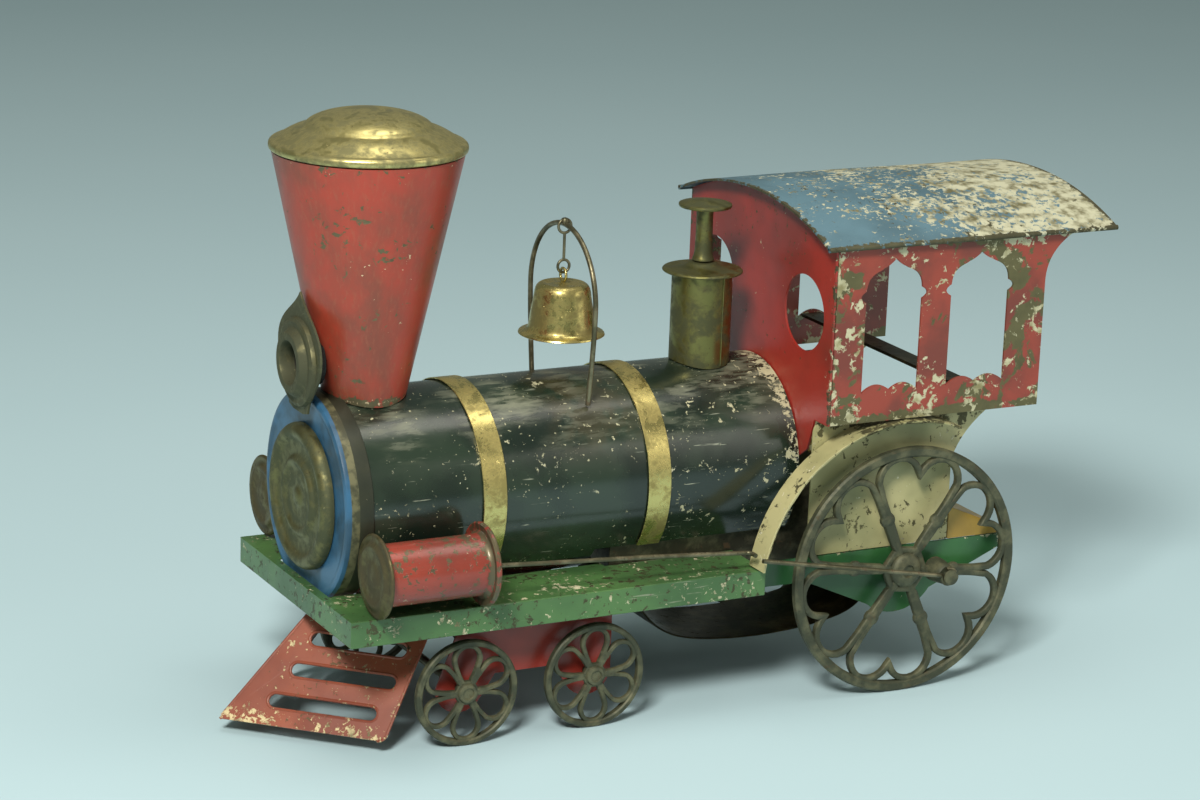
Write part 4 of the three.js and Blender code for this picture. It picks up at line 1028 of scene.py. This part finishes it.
def driver_wheel():
    centre_r, centre_t, radius = 32.2, 8.1, 8.3
    notch = math.degrees(math.atan2(-centre_t, math.sqrt(radius**2 - centre_t**2)))
    bow = arc((centre_r, centre_t), radius, notch, 97, 14)
    half = loop_half(bow, [(24.5, 13.2), (16, 8.3), (7, 3.4)], 5)
    heart = half + [(r, -t) for r, t in reversed(half[1:])]
    outer, inner = DRIVER_FACE, DRIVER_FACE - DRIVER_THICK
    middle = (outer + inner) / 2 - 0.1
    knuckle = [(0, -1.8), (1.6, -1.6), (2.7, -0.8), (2.9, 0), (2.7, 0.8), (1.6, 1.6), (0, 1.8)]
    parts = [lathe(ring_profile(DRIVER_RADIUS - 3.6, DRIVER_RADIUS, inner, outer, 0.7), "y", turns=144)]
    for k in range(6):
        turn = HEART_PHASE + 60 * k
        parts.append(rib(spun(heart, turn), 1.2, 1.35, middle))
        near, far, knob = spun([(5, 0), (20.5, 0), (20.6, 0)], turn - 30)
        parts.append(rib([near, far], 1.5, 1.45, middle, closed=False))
        parts.append(lathe(knuckle, "y", (knob[0], middle, knob[1]), 20))
    hub = [(0, inner - 0.8), (5.4, inner - 0.8), (6.2, inner), (6.2, outer - 0.2), (5.6, outer + 0.7),
           (4.2, outer + 1.5), (2.4, outer + 1.6), (2.2, outer + 0.8), (0, outer + 0.8)]
    parts.append(lathe(hub, "y", turns=48))
    stud = [(0, inner + 0.4), (4.4, inner + 0.4), (4.3, outer), (3.8, 53.2), (3.5, 55.3), (3.1, 55.7),
            (STUD_NECK, 55.8), (STUD_NECK, 58.1), (2.6, 58.2), (2.9, 58.5), (2.7, 59.1), (1.6, 59.4),
            (0, 59.4)]
    parts.append(lathe(stud, "y", (CRANK_X, 0, CRANK_Z - DRIVER_RADIUS), 32))
    wheel = shifted(join(*parts), z=DRIVER_RADIUS)
    for side, turned in SIDES:
        piece("drive_wheel_" + side, turned(wheel), "wheel", "driver_wheel_" + side)


def truck_wheels():
    outer, inner = TRUCK_FACE, TRUCK_FACE - TRUCK_THICK
    middle = (outer + inner) / 2
    bow = arc((11.9, 0), 4.7, -112, 112, 18)
    petal = loop_half(bow, [(6.6, 3.1), (3.4, 1.4)], 4)
    petal += [(r, -t) for r, t in reversed(petal[len(bow):])]
    parts = [lathe(ring_profile(TRUCK_RADIUS - 2.1, TRUCK_RADIUS, inner, outer, 0.5), "y")]
    for k in range(6):
        parts.append(rib(spun(petal, 30 + 60 * k), 0.85, 1.05, middle, sides=12))
    hub = [(0, inner - 0.6), (3, inner - 0.6), (3.6, inner), (3.6, outer - 0.4), (3.1, outer + 0.4),
           (2.1, outer + 0.6), (1.9, outer + 0.1), (0, outer + 0.1)]
    parts.append(lathe(hub, "y", turns=40))
    drop = [(0, -1.2), (1.3, -1), (1.9, 0), (1.4, 1.1), (0, 1.4)]
    x, z = spun([(7.8, 0)], 120)[0]
    parts.append(lathe(drop, "y", (x, middle, z), 20))
    wheel = shifted(join(*parts), z=TRUCK_RADIUS)
    for place, axle_x in TRUCK_AXLES.items():
        there = shifted(wheel, x=axle_x)
        for side, turned in SIDES:
            end = f"{place}_{side}"
            piece("small_wheel_" + end, turned(there), "wheel", "truck_wheel_" + end)
        keep("truck_axle_" + place, "wire", 0)


driver_wheel()
truck_wheels()
keep("driver_axle", "wire", 0)
keep("truck_frame", "truck", 0.2)
keep("truck_pivot", "steel", 0.15)


# ---- cowcatcher
def cowcatcher():
    """One sheet folded to a V. u runs along its foot from the nose, v up its slope."""
    nose = Vector((NOSE_X, 0, 5))
    foot = Vector((-43, 41.1, 0)).normalized()
    ridge = Vector((-30.8, 0, 32.2))
    out = foot.cross(ridge).normalized()
    up = out.cross(foot)
    lean = ridge.dot(foot) / ridge.dot(up)

    def place(u, v, w):
        return tuple(nose + foot * u + up * v - out * w)

    def slot(start, end, height, half=2.8):
        near = arc((start + half, height), half, 90, 270, 10)
        return near + arc((end - half, height), half, 270, 450, 10)

    height = 46
    outline = (
        Pen(0, 0)
        .line(56.5, 0)
        .curve((59.2, 0), (59.6, 3.4))
        .line(67.8, height)
        .line(height * lean, height)
        .points
    )
    slots = [slot(15.5, 55, 8.7), slot(21, 59.4, 20.2), slot(25.5, 60.8, 31.6)]
    wing = sheet(outline, place, slots)
    lips = [tube([place(u, v, TIN / 2) for u, v in slot], 0.62, 8, closed=True) for slot in slots]
    lips.append(tube([place(u, v, TIN / 2) for u, v in outline[1:-1]], 0.55, 8))
    fold = tube([place(t * lean, t, 0.5) for t in (1.2, 15, 30, 45)], 0.7, 10)
    half = join(wing, *lips)
    shape = join(half, flipped(half), fold)
    piece("cowcatcher_sheet", shape, "cowcatcher", "cowcatcher", bevel=0.15)


cowcatcher()


# ---- clockwork
def mainspring():
    """The coil round the winding arbor, and its loose outer turn down to the rear pillar."""
    arbor_x, arbor_z, turns, steps = 72, 60, 3.5, 220
    first, grown = 5, 16
    coil = []
    for i in range(steps + 1):
        share = i / steps
        angle = (1 - share) * turns * 2 * math.pi
        radius = first + share * grown
        coil.append((arbor_x + radius * math.cos(angle), arbor_z + radius * math.sin(angle)))
    loose = [(92, 42), (86.5, 29), (74, 19.5), (52, 15.8), (26, 16), (4, 20), (-7.4, 29)]
    strip = rib(loop_half(coil, loose, 16), 0.4, 18, 0, closed=False, sides=16, power=0.25)
    piece("spring_strip", strip, "spring", "mainspring")


mainspring()
for node in ("great_wheel", "winding_arbor", "click", "pillar_rear", "pillar_front",
             "movement_plate_left", "movement_plate_right"):
    keep(node, "steel", 0.08)
for node in ("second_wheel", "third_wheel", "axle_gear"):
    keep(node, "train", 0.08)


# ---- floor, light and camera
def studio():
    """A pale paper floor, a soft key light from the front left, and weak light all round."""
    bpy.ops.mesh.primitive_plane_add(size=14)
    floor = bpy.context.object
    floor.name = "floor"
    m = Finish("floor_paper")
    shade = m.mix(m.noise(400, 2), rgb(176, 204, 214), rgb(184, 210, 219))
    floor.data.materials.append(m.surface(shade, 0.75, 0.0))
    world = bpy.data.worlds.new("studio")
    world.use_nodes = True
    world.node_tree.nodes["Background"].inputs[0].default_value = rgb(186, 196, 186)
    world.node_tree.nodes["Background"].inputs[1].default_value = 0.32
    scene.world = world
    centre = Vector((0, 0, 0.1))
    for name, place, size, power in (
        ("key", (0.85, 0.95, 1.25), 0.38, 32),
        ("top", (-0.1, 0.1, 1.5), 0.9, 8),
        ("fill", (-1.3, 1.2, 0.7), 1.1, 7),
    ):
        lamp = bpy.data.lights.new(name, "AREA")
        lamp.color = (1.0, 0.95, 0.86)
        lamp.size = size
        lamp.energy = power
        holder = bpy.data.objects.new(name, lamp)
        scene.collection.objects.link(holder)
        holder.location = place
        holder.rotation_mode = "QUATERNION"
        holder.rotation_quaternion = (centre - Vector(place)).to_track_quat("-Z", "Y")


def camera():
    """The camera that was fitted to the photo: its angles, its distance and its lens."""
    azimuth, elevation, roll = (math.radians(a) for a in (27.58, 15.38, 2.13))
    distance = 1.213
    focal_share = 3486.5 / 1200
    aim = at(98.0, 0, 103.3)
    back = Vector((math.sin(azimuth) * math.cos(elevation), math.cos(azimuth) * math.cos(elevation),
                   math.sin(elevation)))
    right = (-back).cross(Vector((0, 0, 1))).normalized()
    up = right.cross(-back)
    tilted = math.cos(roll) * right + math.sin(roll) * up
    upright = math.cos(roll) * up - math.sin(roll) * right
    data = bpy.data.cameras.new("camera")
    data.sensor_width = 36
    data.lens = focal_share * data.sensor_width
    data.clip_start, data.clip_end = 0.05, 30
    holder = bpy.data.objects.new("camera", data)
    scene.collection.objects.link(holder)
    turn = Matrix((tilted, upright, back)).transposed()
    holder.matrix_world = Matrix.Translation(aim + back * distance) @ turn.to_4x4()
    scene.camera = holder


studio()
camera()
scene.view_settings.view_transform = "Standard"

bpy.context.view_layer.update()
